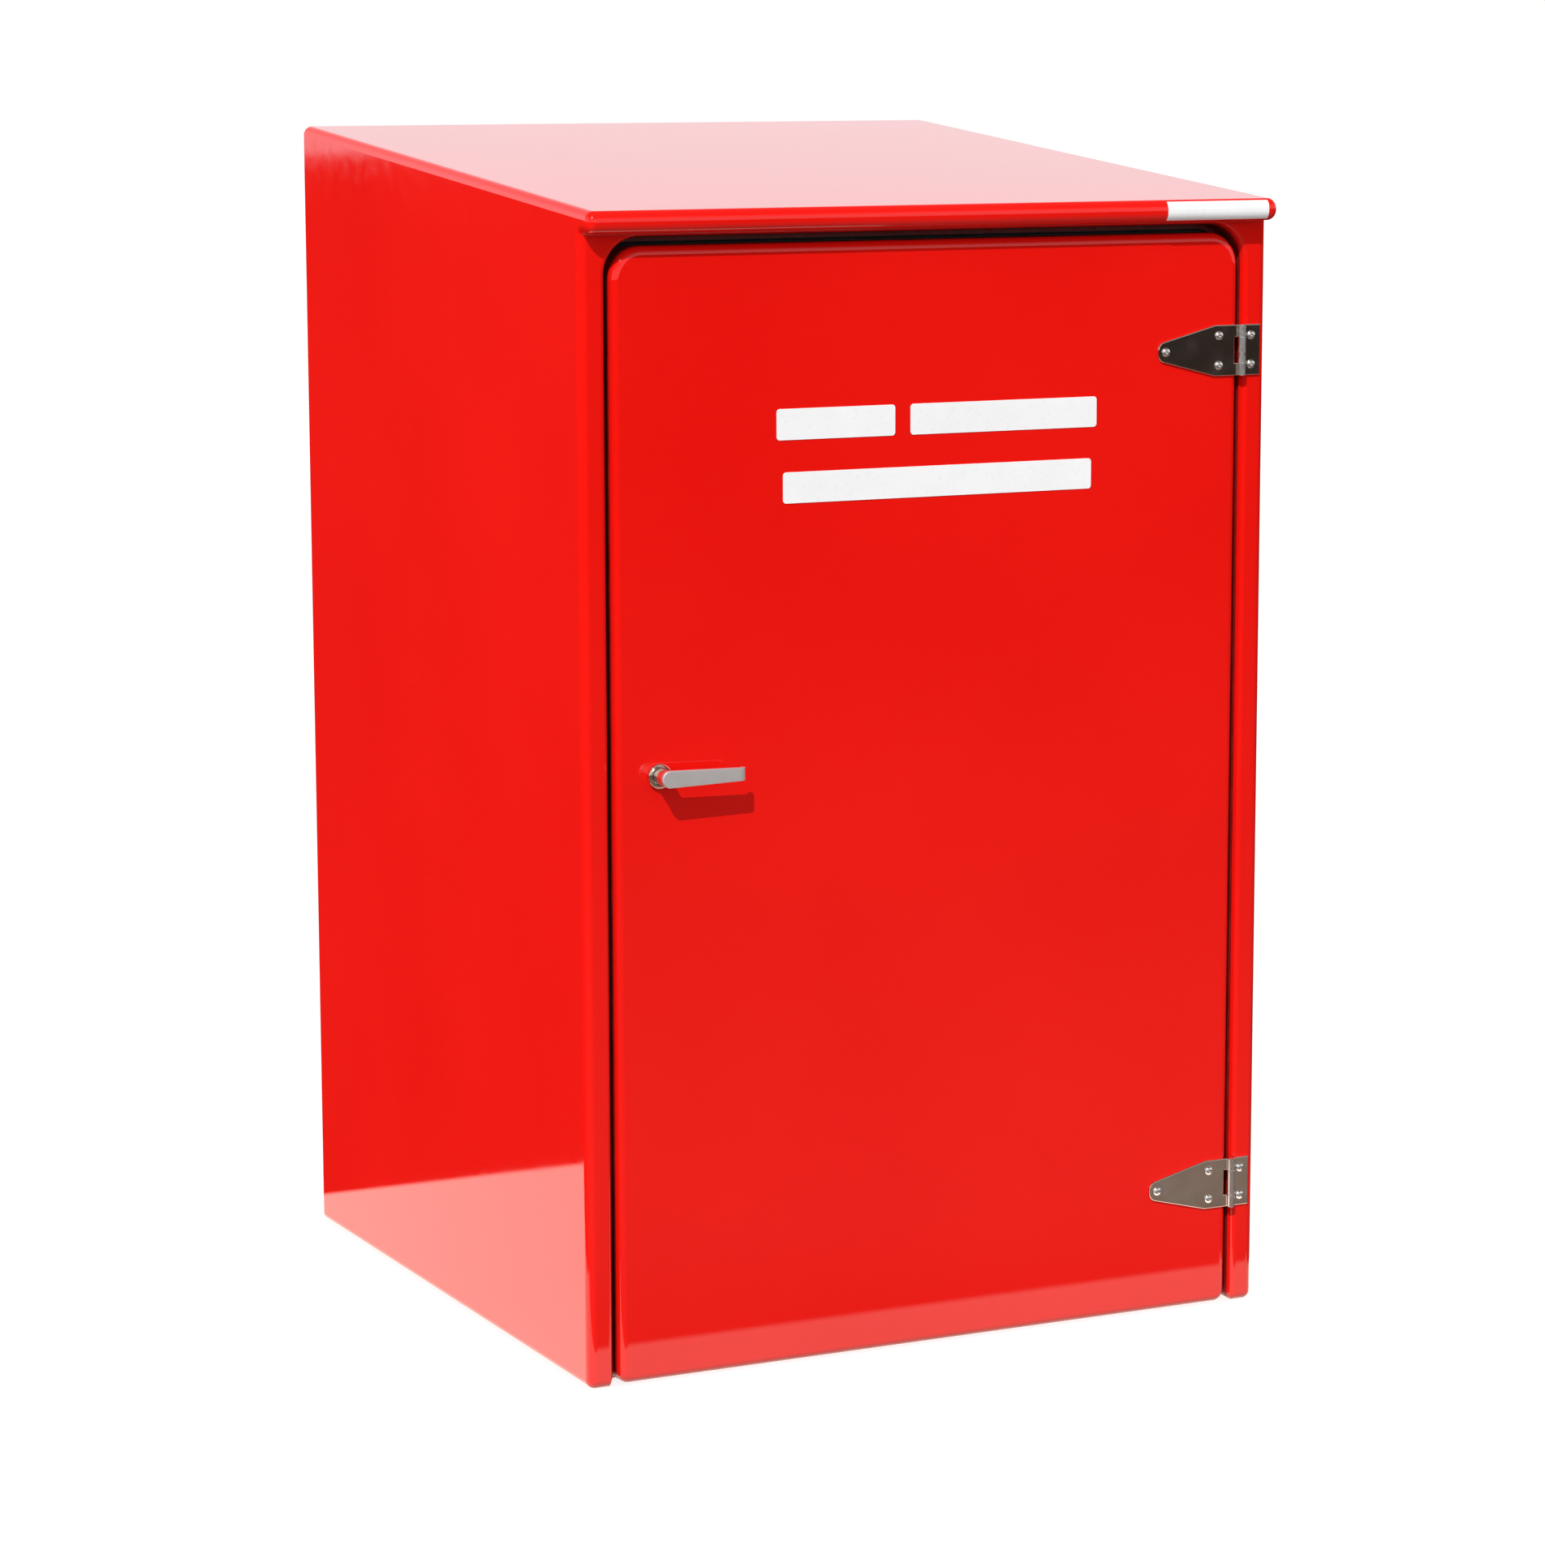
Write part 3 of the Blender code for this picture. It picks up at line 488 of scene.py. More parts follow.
def shaded_joint_gelcoat():
    """The gel coat in the joint between door and jamb: dull where no mop reaches, and dark with painted
    shade.
    """
    # Base colour painted dark: the shade that falls in the joint between door and jamb.
    made = finish("shaded_joint_gelcoat", (0.22, 0.0042, 0.0025), 0.5)
    tint(made, grain(made, 25.0, 4.0), (0.18, 0.0034, 0.0020), (0.27, 0.0050, 0.0030))
    roughen(made, grain(made, 80.0, 4.0), 0.4, 0.65)
    relief(made, (grain(made, 150.0, 3.0), 0.00002))
    return made


def flow_coat():
    """Pale flow coat brushed over the laminate: the mat's short fibres and the roller's stipple show."""
    made = finish("flow_coat", (0.70, 0.70, 0.66), 0.45)
    tint(made, grain(made, 14.0, 6.0), (0.66, 0.66, 0.61), (0.74, 0.74, 0.71))
    roughen(made, grain(made, 60.0, 4.0), 0.32, 0.55)
    relief(
        made,
        (grain(made, 9.0, 2.0), 0.0012),
        (grain(made, 60.0, 5.0, stretch=(1, 1, 6), turn=(0.5, 0.9, 0.3), distortion=1.5), 0.00035),
        (grain(made, 75.0, 5.0, stretch=(6, 1, 1), turn=(0.9, 0.2, 0.7), distortion=1.5), 0.00035),
    )
    return made


def white_laminate():
    """The door's inner panel: a pressed laminate with a fine pebbled face."""
    made = finish("white_laminate", (0.75, 0.75, 0.73), 0.38)
    tint(made, grain(made, 5.0, 5.0), (0.735, 0.735, 0.71), (0.775, 0.775, 0.755))
    roughen(made, grain(made, 90.0, 3.0), 0.28, 0.45)
    relief(made, (grain(made, 7.0, 1.0), 0.0003), (grain(made, 420.0, 2.0), 0.00005))
    return made


def core_board():
    """Balsa core: long pale grain."""
    made = finish("core_board", (0.62, 0.45, 0.26), 0.8)
    long_grain = grain(made, 90.0, 5.0, stretch=(1, 1, 0.06), distortion=0.8)
    tint(made, long_grain, (0.50, 0.34, 0.18), (0.70, 0.54, 0.34))
    relief(made, (long_grain, 0.0004))
    return made


def seal_rubber():
    made = finish("seal_rubber", (0.018, 0.018, 0.018), 0.6)
    tint(made, grain(made, 30.0, 4.0), (0.014, 0.014, 0.014), (0.030, 0.029, 0.028))
    roughen(made, grain(made, 120.0, 4.0), 0.5, 0.75)
    relief(made, (grain(made, 900.0, 2.0), 0.00004))
    return made


def polished_steel():
    """Mirror-polished stainless: a slow ripple left by the mop and hairlines along the leaf."""
    made = finish("polished_steel", (0.79, 0.67, 0.58), 0.06, 1.0)
    tint(made, grain(made, 30.0, 2.0), (0.75, 0.62, 0.52), (0.83, 0.73, 0.65))
    roughen(made, grain(made, 35.0, 3.0), 0.03, 0.09)
    hairlines = grain(made, 900.0, 2.0, stretch=(0.05, 1, 1))
    relief(made, (grain(made, 34.0, 1.0, distortion=0.5), 0.00030), (hairlines, 0.0000003))
    return made


def rolled_steel():
    """Stainless that was polished and then worked: brighter and softer than the flat leaves."""
    made = finish("rolled_steel", (0.90, 0.875, 0.86), 0.2, 1.0)
    tint(made, grain(made, 120.0, 3.0), (0.87, 0.845, 0.83), (0.93, 0.905, 0.89))
    roughen(made, grain(made, 260.0, 3.0), 0.16, 0.26)
    relief(made, (grain(made, 300.0, 2.0), 0.000010))
    return made


def satin_steel():
    """Brushed stainless: fine lines along the bar."""
    made = finish("satin_steel", (0.78, 0.755, 0.75), 0.4, 1.0)
    lines = grain(made, 1400.0, 3.0, stretch=(0.02, 1, 1))
    tint(made, grain(made, 60.0, 3.0), (0.76, 0.735, 0.73), (0.80, 0.775, 0.77))
    roughen(made, lines, 0.36, 0.44)
    relief(made, (lines, 0.000003))
    return made


def blasted_steel():
    """Bead-blasted casting: an even, dull grey with a very fine tooth."""
    made = finish("blasted_steel", (0.84, 0.80, 0.80), 0.57, 1.0)
    tint(made, grain(made, 60.0, 3.0), (0.82, 0.78, 0.78), (0.86, 0.82, 0.82))
    roughen(made, grain(made, 200.0, 3.0), 0.55, 0.61)
    relief(made, (grain(made, 1500.0, 2.0), 0.000004))
    return made


def zinc_steel():
    """Zinc-plated mild steel: cloudy spangle, dull."""
    made = finish("zinc_steel", (0.55, 0.56, 0.57), 0.4, 1.0)
    cloud = grain(made, 110.0, 4.0, distortion=1.0)
    tint(made, cloud, (0.46, 0.48, 0.50), (0.62, 0.62, 0.60))
    roughen(made, cloud, 0.32, 0.52)
    relief(made, (grain(made, 700.0, 3.0), 0.00002))
    return made


def white_vinyl():
    """Cut vinyl: bright white, low sheen, the faintest orange peel."""
    made = finish("white_vinyl", (0.90, 0.90, 0.90), 0.3)
    tint(made, grain(made, 20.0, 3.0), (0.88, 0.88, 0.88), (0.92, 0.92, 0.92))
    roughen(made, grain(made, 150.0, 3.0), 0.25, 0.38)
    relief(made, (grain(made, 300.0, 2.0), 0.00001))
    return made


GELCOAT = red_gelcoat()
JOINT_SHADE = shaded_joint_gelcoat()
FLOW_COAT = flow_coat()
LAMINATE = white_laminate()
CORE = core_board()
RUBBER = seal_rubber()
POLISHED = polished_steel()
ROLLED = rolled_steel()
SATIN = satin_steel()
BLASTED = blasted_steel()
ZINC = zinc_steel()
VINYL = white_vinyl()


# Mouldings ----------------------------------------------------------------------------------------


def side_profile():
    """The outside seen from the side, anticlockwise in y, z. The roof falls to a rounded lip at the front."""
    under = FRONT_HEIGHT - LIP_HEIGHT
    return [
        (FRONT, 0, EDGE_RADIUS),
        (BACK, 0, EDGE_RADIUS),
        (BACK, BACK_HEIGHT, EDGE_RADIUS),
        (FRONT - LIP_REACH, FRONT_HEIGHT, LIP_RADIUS),
        (FRONT - LIP_REACH, under, LIP_RADIUS),
        (FRONT, under, LIP_ROOT_RADIUS),
    ]


def inside_profile():
    """The laminate's inside line, which leaves the lip solid."""
    front_top = FRONT_HEIGHT + ROOF_SLOPE * LIP_REACH
    return [
        (FRONT, 0, EDGE_RADIUS),
        (BACK, 0, EDGE_RADIUS),
        (BACK, BACK_HEIGHT, EDGE_RADIUS),
        (FRONT, front_top, EDGE_RADIUS),
    ]


def side_to_side(corners, depth, rim):
    """A side view carried across the width, its ends rounded: inset rim (1 - sin a), drop rim (1 - cos a)."""
    left = quarter(rim) * [1, 1] + [depth, -HALF_WIDTH + depth]
    right = (quarter(rim) * [1, -1] + [depth, HALF_WIDTH - depth])[::-1]
    rings = []
    for inset, x in np.concatenate([left, right]):
        ring = outline(corners, inset)
        rings.append(np.stack([np.full(len(ring), x), ring[:, 0], ring[:, 1]], axis=1))
    return skin(rings)


def doorway(share):
    """The doorway's outline with a share of its mouth's flare, its feet rounded just under the floor line."""
    half, high = DOORWAY_HALF + DOORWAY_FLARE * share, DOORWAY_TOP + LINTEL_FLARE * share
    foot, under = half + JAMB_FOOT_RADIUS + CUT_SPARE, -JAMB_FOOT_SINK
    right = [(foot, -CUT_BELOW, 0), (foot, under, 0), (half, under, JAMB_FOOT_RADIUS)]
    right.append((half, high, DOORWAY_RADIUS + LINTEL_FLARE * share))
    return right + [(-x, z, radius) for x, z, radius in reversed(right)]


def doorway_cut():
    """The doorway's air: its mouth opens in a quarter ellipse, share 1 - sin a at flare depth (1 - cos a)."""
    angle = np.linspace(0, math.pi / 2, STEPS + 1)
    shares = [1.0, *(1 - np.sin(angle)), 0.0]
    depths = [FRONT - FIT_GAP, *(FRONT + FLARE_DEPTH * (1 - np.cos(angle))), STOP_FACE]
    return skin([upright(outline(doorway(share)), y) for share, y in zip(shares, depths)])


def door_frame():
    """The return and stop behind the jambs: one U-shaped section round both sides and the head."""
    outer, inner = DOORWAY_HALF + WALL, DOORWAY_HALF - STOP_WIDTH
    high, low = DOORWAY_TOP + WALL, DOORWAY_TOP - STOP_WIDTH
    foot = FRAME_SINK
    u_shape = [
        (outer, foot, 0),
        (outer, high, DOORWAY_RADIUS + WALL),
        (-outer, high, DOORWAY_RADIUS + WALL),
        (-outer, foot, 0),
        (-inner, foot, 0),
        (-inner, low, DOORWAY_RADIUS - STOP_WIDTH),
        (inner, low, DOORWAY_RADIUS - STOP_WIDTH),
        (inner, foot, 0),
    ]
    return plate(u_shape, [(0, FRONT + foot), (0, STOP_BACK)])


def make_shell():
    """The one-piece moulding, gel coat outside and round the doorway, flow coat on every face within."""
    mesh = carved(
        "shell",
        side_to_side(side_profile(), 0, EDGE_RADIUS),
        [
            ("DIFFERENCE", side_to_side(inside_profile(), WALL, EDGE_RADIUS - WALL)),
            ("UNION", door_frame()),
            ("DIFFERENCE", doorway_cut()),
        ],
    )
    settle("shell_moulding", mesh, GELCOAT, "cabinet", ["cabinet_shell"])
    x, y, z = face_centres(mesh)
    skin_depth = WALL - TOLERANCE
    roof = FRONT_HEIGHT + ROOF_SLOPE * (y - FRONT + LIP_REACH)
    within = (abs(x) < HALF_WIDTH - skin_depth) & (y > FRONT + skin_depth) & (y < BACK - skin_depth)
    within &= (z > skin_depth) & (z < roof - WALL)
    reveal = (abs(x) < DOORWAY_HALF + REVEAL_MOUTH) & (z < DOORWAY_TOP + REVEAL_MOUTH)
    reveal &= y < STOP_BACK - TOLERANCE
    refinish(mesh, within & ~reveal, FLOW_COAT)
    # Faces deep in the reveal take the gel coat painted dark for the shade in the joint.
    refinish(mesh, reveal & (y > FRONT + FLARE_DEPTH / 2) & (z > WALL + TOLERANCE), JOINT_SHADE)


def make_door():
    """The door moulding: a tray whose rim turns back round the core."""
    half, low, high = DOOR_HIGH.x, DOOR_LOW.z, DOOR_HIGH.z
    corners = [
        (-half, low, DOOR_BOTTOM_RADIUS),
        (half, low, DOOR_BOTTOM_RADIUS),
        (half, high, DOOR_TOP_RADIUS),
        (-half, high, DOOR_TOP_RADIUS),
    ]
    face = quarter(DOOR_EDGE_RADIUS) + [0, FRONT]
    chamfer, back = DOOR_RIM_CHAMFER, DOOR_HIGH.y
    rear = [(0, back - chamfer), (chamfer, back), (WALL, back), (WALL, FRONT + WALL)]
    tray = plate(corners, np.concatenate([face, rear]))
    holes = [drilled(HANDLE_X, HANDLE_Z, BARREL_RADIUS + FIT_GAP)]
    for side in ("lower", "upper"):
        for end in ("tip", "top", "bottom"):
            low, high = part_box(f"{side}_door_bolt_{end}")
            holes.append(drilled((low.x + high.x) / 2, (low.z + high.z) / 2, SCREW_SHANK + FIT_GAP))
    mesh = carved("door", tray, [("DIFFERENCE", together(*holes))])
    settle("door_moulding", mesh, GELCOAT, "door", ["door_skin"])
    _, y, _ = face_centres(mesh)
    # The door's rim faces inside the joint take the gel coat painted dark for the shade there.
    refinish(mesh, y > FRONT + DOOR_EDGE_RADIUS, JOINT_SHADE)


def drilled(x, z, radius):
    """A drill that passes right through the door's face."""
    front, back = FRONT - 0.01, FRONT + 0.02
    return turned([(0, front), (radius, front), (radius, back), (0, back)], (x, 0, z), steps=32)


def make_seal():
    """A hollow-looking D section carried up one side of the stop, over the head and down the other."""
    flat, crown = STOP_FACE - FIT_GAP, DOOR_HIGH.y + FIT_GAP
    middle = DOORWAY_HALF - SEAL_SETBACK - SEAL_WIDTH / 2
    top = DOORWAY_TOP - SEAL_SETBACK - SEAL_WIDTH / 2
    radius = DOORWAY_RADIUS - SEAL_SETBACK - SEAL_WIDTH / 2
    bend = np.linspace(0, math.pi / 2, STEPS + 1)
    bend_x, bend_z = middle - radius + radius * np.cos(bend), top - radius + radius * np.sin(bend)
    right = np.stack([bend_x, bend_z], axis=1)
    left = (right * [-1, 1])[::-1]
    path = np.concatenate([[(middle, SEAL_FOOT)], right, left, [(-middle, SEAL_FOOT)]])
    ahead = unit(np.gradient(path, axis=0))
    ahead[0] = ahead[1] = (0, 1)
    ahead[-1] = ahead[-2] = (0, -1)
    outward = np.stack([ahead[:, 1], -ahead[:, 0]], axis=1)
    swell = np.linspace(0, math.pi, 15)
    half = SEAL_WIDTH / 2
    shoulder = flat - SEAL_SHOULDER
    bulb_x, bulb_y = -half * SEAL_BULB_SHARE * np.cos(swell), shoulder - (shoulder - crown) * np.sin(swell)
    section = np.concatenate(
        [
            [(-half, flat), (-half, flat - SEAL_EDGE)],
            np.stack([bulb_x, bulb_y], axis=1),
            [(half, flat - SEAL_EDGE), (half, flat)],
        ]
    )
    x = path[:, None, 0] + outward[:, None, 0] * section[None, :, 0]
    z = path[:, None, 1] + outward[:, None, 1] * section[None, :, 0]
    y = np.broadcast_to(section[None, :, 1], x.shape)
    mesh = mesh_of("door_seal_bulb", skin(np.stack([x, y, z], axis=-1)))
    settle("door_seal_bulb", mesh, RUBBER, "cabinet", ["door_seal"])


# Hinges -------------------------------------------------------------------------------------------


def knuckle(low, high):
    """A rolled eye about the hinge line, its ends broken by a small chamfer."""
    bore = PIN_RADIUS + FIT_GAP
    profile = [
        (bore, low),
        (KNUCKLE_RADIUS - KNUCKLE_CHAMFER, low),
        (KNUCKLE_RADIUS, low + KNUCKLE_CHAMFER),
        (KNUCKLE_RADIUS, high - KNUCKLE_CHAMFER),
        (KNUCKLE_RADIUS - KNUCKLE_CHAMFER, high),
        (bore, high),
    ]
    return turned(profile, (PIN_X, PIN_Y, 0), axis="z")


def strap_leaf(middle):
    """The door leaf: square at the hinge line with a slot for the middle eye, tapering to a round tip."""
    tip, shoulder = PIN_X - STRAP_LENGTH, PIN_X - STRAP_SHOULDER
    root = PIN_X - LEAF_ROOT
    slot = PIN_X - KNUCKLE_RADIUS - SLOT_DEPTH
    corners = [
        (tip, middle - STRAP_TIP_HALF, STRAP_TIP_RADIUS),
        (shoulder, middle - LEAF_HALF, STRAP_SHOULDER_RADIUS),
        (root, middle - LEAF_HALF, 0),
        (root, middle - SLOT_HALF, 0),
        (slot, middle - SLOT_HALF, SLOT_CORNER),
        (slot, middle + SLOT_HALF, SLOT_CORNER),
        (root, middle + SLOT_HALF, 0),
        (root, middle + LEAF_HALF, 0),
        (shoulder, middle + LEAF_HALF, STRAP_SHOULDER_RADIUS),
        (tip, middle + STRAP_TIP_HALF, STRAP_TIP_RADIUS),
    ]
    return flat_bar(corners, LEAF_FRONT, LEAF_BACK, LEAF_RIM)


def jamb_leaf(middle):
    """The jamb leaf: a square plate with a tongue to its one eye."""
    tongue = SLOT_HALF - FIT_GAP
    notch = PIN_X + KNUCKLE_RADIUS + FIT_GAP
    root, right = PIN_X + LEAF_ROOT, PIN_X + JAMB_LEAF_LENGTH
    corners = [
        (root, middle - tongue, 0),
        (notch, middle - tongue, 0),
        (notch, middle - LEAF_HALF, JAMB_NOTCH_CORNER),
        (right, middle - LEAF_HALF, JAMB_LEAF_CORNER),
        (right, middle + LEAF_HALF, JAMB_LEAF_CORNER),
        (notch, middle + LEAF_HALF, JAMB_NOTCH_CORNER),
        (notch, middle + tongue, 0),
        (root, middle + tongue, 0),
    ]
    return flat_bar(corners, LEAF_FRONT, LEAF_BACK, LEAF_RIM)


def socket_screw(x, z):
    """A domed screw: a hexagonal socket, of radius half / cos(angle from the flat), in an elliptic dome."""
    steps = 48
    angle = np.linspace(0, 2 * math.pi, steps, endpoint=False)
    hexagon = SOCKET_HALF / np.cos((angle + math.pi / 6) % (math.pi / 3) - math.pi / 6)
    rim = SCREW_RISE * SCREW_RIM_SHARE
    share = np.sin(np.linspace(math.asin(SOCKET_MOUTH_SHARE), math.pi / 2, 14))
    dome = [(SCREW_HEAD * s, rim + (SCREW_RISE - rim) * math.sqrt(max(1 - s * s, 0))) for s in share]
    floor, mouth = SCREW_RISE - SOCKET_DEPTH, dome[0][1]
    radii = [np.zeros(steps), hexagon * 0.5, hexagon, hexagon]
    rises = [floor - SOCKET_POINT, floor, floor, mouth + SOCKET_LIP]
    shank = [(SCREW_SHANK, FIT_GAP), (SCREW_SHANK, -SCREW_DEPTH), (0, -SCREW_DEPTH)]
    for radius, rise in dome + [(SCREW_HEAD, FIT_GAP)] + shank:
        radii.append(np.full(steps, radius))
        rises.append(rise)
    radii = np.array(radii)
    y = LEAF_FRONT - np.array(rises)[:, None] + 0 * radii
    rings = np.stack([x + radii * np.cos(angle), y, z + radii * np.sin(angle)], axis=-1)
    return skin(rings, capped=False)


def make_hinges():
    """Both hinges: strap leaf with two end eyes, jamb leaf with the middle one, pin and five screws."""
    tongue = SLOT_HALF - FIT_GAP
    for side in ("lower", "upper"):
        low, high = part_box(f"{side}_hinge_pin")
        middle = (low.z + high.z) / 2
        bottom, top = middle - LEAF_HALF, middle + LEAF_HALF
        end_eyes = [knuckle(bottom, middle - SLOT_HALF), knuckle(middle + SLOT_HALF, top)]
        strap = carved(side, strap_leaf(middle), [("UNION", eye) for eye in end_eyes])
        node = f"{side}_hinge_door_leaf"
        settle(f"{side}_strap_leaf", strap, POLISHED, "door", [node])
        brighten_eyes(strap)
        jamb = carved(side, jamb_leaf(middle), [("UNION", knuckle(middle - tongue, middle + tongue))])
        node = f"{side}_hinge_jamb_leaf"
        settle(f"{side}_fixed_leaf", jamb, POLISHED, "cabinet", [node])
        brighten_eyes(jamb)
        node = f"{side}_hinge_pin"
        pin_profile = [(0, bottom), (PIN_RADIUS * 0.8, bottom), (PIN_RADIUS, bottom + PIN_CHAMFER)]
        pin_profile += [(radius, bottom + top - z) for radius, z in pin_profile[::-1]]
        pin = mesh_of(f"{side}_pin", turned(pin_profile, (PIN_X, PIN_Y, 0), axis="z", steps=32))
        settle(f"{side}_pin_rod", pin, SATIN, frame_body(node), [node])
        for place, ends in (("door", ("tip", "top", "bottom")), ("jamb", ("top", "bottom"))):
            for end in ends:
                node = f"{side}_{place}_bolt_{end}"
                low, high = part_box(node)
                screw = mesh_of(node, socket_screw((low.x + high.x) / 2, (low.z + high.z) / 2))
                name = f"{side}_{place}_screw_{end}"
                settle(name, screw, ROLLED, frame_body(node), [node])


def brighten_eyes(mesh):
    """A leaf's rolled eyes are every face within their radius of the hinge line."""
    x, y, _ = face_centres(mesh)
    refinish(mesh, np.hypot(x - PIN_X, y - PIN_Y) < KNUCKLE_RADIUS + FIT_GAP, ROLLED)


def frame_body(node):
    return frame["nodes"][node]["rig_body"]


# Latch --------------------------------------------------------------------------------------------


def lever_blade():
    """The lever's blade. Seen from the front it is a tapering bar with a round root; its far end is curled.

    Half height is the root circle's near the root and the straight taper's beyond the tangent point. Each
    station is one loop: flat front, quarter-round edge, flat back, quarter-round edge. Past LEVER_FLAT a
    station at arc length s turns by s / radius about a centre behind the blade, as a bent bar does.
    """
    length = LEVER_FLAT + CURL_RADIUS * CURL
    root = np.linspace(math.pi, math.pi / 2, 2 * STEPS + 1)
    x = LEVER_ROOT * np.cos(root)
    half = LEVER_ROOT * np.sin(root)
    out_x, out_z = np.cos(root), np.sin(root)
    reach = np.linspace(0, 1, 9)[1:] * LEVER_FLAT
    curl = LEVER_FLAT + np.linspace(0, 1, 13)[1:] * (CURL_RADIUS * CURL - LEVER_CORNER)
    straight = np.concatenate([reach, curl])
    taper = LEVER_ROOT - (LEVER_ROOT - LEVER_END) * np.minimum(straight / LEVER_FLAT, 1)
    corner = np.linspace(0, math.pi / 2, 5)[1:]
    corner_x = length - LEVER_CORNER + LEVER_CORNER * np.sin(corner)
    corner_z = LEVER_END - LEVER_CORNER + LEVER_CORNER * np.cos(corner)
    x = np.concatenate([x, straight, corner_x, [length]])
    half = np.concatenate([half, taper, corner_z, [0.0]])
    out_x = np.concatenate([out_x, np.zeros(len(straight)), np.sin(corner), [1.0]])
    out_z = np.concatenate([out_z, np.ones(len(straight)), np.cos(corner), [0.0]])
    edge = np.linspace(0, math.pi / 2, 5)
    thick = LEVER_THICKNESS / 2
    pull = np.concatenate([1 - np.sin(edge), (1 - np.sin(edge))[::-1]]) * LEVER_RIM
    rise = thick - LEVER_RIM * (1 - np.cos(edge))
    rise = np.concatenate([rise, -rise[::-1]])
    upper_x = x[:, None] - out_x[:, None] * pull
    upper_z = half[:, None] - out_z[:, None] * pull
    lower_x = upper_x[:, ::-1]
    lower_z = -upper_z[:, ::-1]
    along = np.concatenate([upper_x, lower_x], axis=1)
    across = np.concatenate([upper_z, lower_z], axis=1)
    height = np.concatenate([rise, rise[::-1]])[None, :] + 0 * along
    bend = np.clip(along - LEVER_FLAT, 0, None) / CURL_RADIUS
    straight_x = np.minimum(along, LEVER_FLAT)
    px = HANDLE_X + straight_x + (CURL_RADIUS + height) * np.sin(bend)
    middle = LEVER_FRONT + thick
    py = middle + CURL_RADIUS - (CURL_RADIUS + height) * np.cos(bend)
    pz = HANDLE_Z + across
    return skin(np.stack([px, py, pz], axis=-1), capped=False)


def make_latch():
    """The lever on its neck, the rose with its barrel, and the fittings behind the door."""
    centre = (HANDLE_X, 0, HANDLE_Z)
    neck_back = FRONT - NECK_STANDOFF
    neck_front = LEVER_FRONT + NECK_OVERLAP
    bore = SPINDLE_RADIUS + FIT_GAP
    socket = LEVER_FRONT + SPINDLE_SOCKET
    neck = turned(
        [
            (0, neck_front),
            (NECK_RADIUS, neck_front),
            (NECK_RADIUS, neck_back - NECK_FILLET),
            (NECK_RADIUS - NECK_FILLET, neck_back),
            (bore, neck_back),
            (bore, socket),
            (0, socket),
        ],
        centre,
        steps=64,
    )
    lever = carved("lever", lever_blade(), [("UNION", neck)])
    settle("lever_blade", lever, BLASTED, "handle", ["lever_handle"])
    _, y, _ = face_centres(lever)
    refinish(lever, y > LEVER_FRONT + LEVER_THICKNESS + CURL_RADIUS, ROLLED)

    face = FRONT - FIT_GAP - ROSE_THICKNESS
    back = FRONT - FIT_GAP
    barrel_end = ROSE_HIGH.y
    rim = [(ROSE_RADIUS - inset, face + drop) for inset, drop in quarter(ROSE_ROUND, 6)]
    rose = turned(
        [
            (bore, face + ROSE_ROUND),
            (NECK_RADIUS + NECK_CLEARANCE, face + ROSE_ROUND),
            (NECK_RADIUS + NECK_CLEARANCE + ROSE_DISH, face + ROSE_DISH_LIP),
            *rim,
            (ROSE_RADIUS, back),
            (BARREL_RADIUS, back),
            (BARREL_RADIUS, barrel_end),
            (bore, barrel_end),
        ],
        centre,
        steps=64,
    )
    settle("rose", mesh_of("rose", rose), POLISHED, "door", ["handle_rose"])

    for name, node, rim, metal, body in (
        ("rose_nut", "rose_fixing_nut", 0.0006, ZINC, "door"),
        ("spindle", "handle_spindle", 0.0003, SATIN, "handle"),
        ("cam_arm", "latch_cam", 0.0005, SATIN, "handle"),
        ("cam_lock_washer", "cam_washer", 0.0002, ZINC, "handle"),
        ("cam_lock_nut", "cam_nut", 0.0005, ZINC, "handle"),
        ("strike_plate", "latch_strike", 0.0003, SATIN, "cabinet"),
        ("strike_rivet_top", "strike_top_rivet", 0.0002, SATIN, "cabinet"),
        ("strike_rivet_bottom", "strike_bottom_rivet", 0.0002, SATIN, "cabinet"),
    ):
        softened(name, node, rim, metal, body)


# Markings -----------------------------------------------------------------------------------------


def make_markings():
    """Plain vinyl bars in place of a legend, and a blank label wrapped round the lip."""
    for word in ("first", "second", "third"):
        low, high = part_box(f"legend_bar_{word}")
        corners = [(low.x, low.z), (high.x, low.z), (high.x, high.z), (low.x, high.z)]
        corners = [(x, z, VINYL_CORNER) for x, z in corners]
        bar = mesh_of(word, flat_bar(corners, low.y, high.y, VINYL_RIM, 0.00005))
        settle(f"vinyl_bar_{word}", bar, VINYL, "door", [f"legend_bar_{word}"])

    y = FRONT - LIP_REACH + LIP_RADIUS
    low = FRONT_HEIGHT - LIP_HEIGHT + LIP_RADIUS
    high = FRONT_HEIGHT + LIP_RADIUS * (ROOF_SLOPE - math.hypot(1, ROOF_SLOPE))
    under = np.linspace(math.pi + LABEL_WRAP, math.pi, STEPS + 1)
    over = np.linspace(math.pi, math.pi - LABEL_WRAP, STEPS + 1)
    angle = np.concatenate([under, over])
    middle = np.concatenate([np.full(STEPS + 1, low), np.full(STEPS + 1, high)])
    inner = LIP_RADIUS + FIT_GAP
    outer = inner + VINYL_THICKNESS
    loop_y = np.concatenate([y + inner * np.cos(angle), (y + outer * np.cos(angle))[::-1]])
    loop_z = np.concatenate([middle + inner * np.sin(angle), (middle + outer * np.sin(angle))[::-1]])
    ends = (LABEL_LOW.x, LABEL_HIGH.x)
    label = skin([np.stack([np.full(len(loop_y), x), loop_y, loop_z], axis=1) for x in ends])
    settle("lip_label_wrap", mesh_of("label", label), VINYL, "cabinet", ["lip_label"])


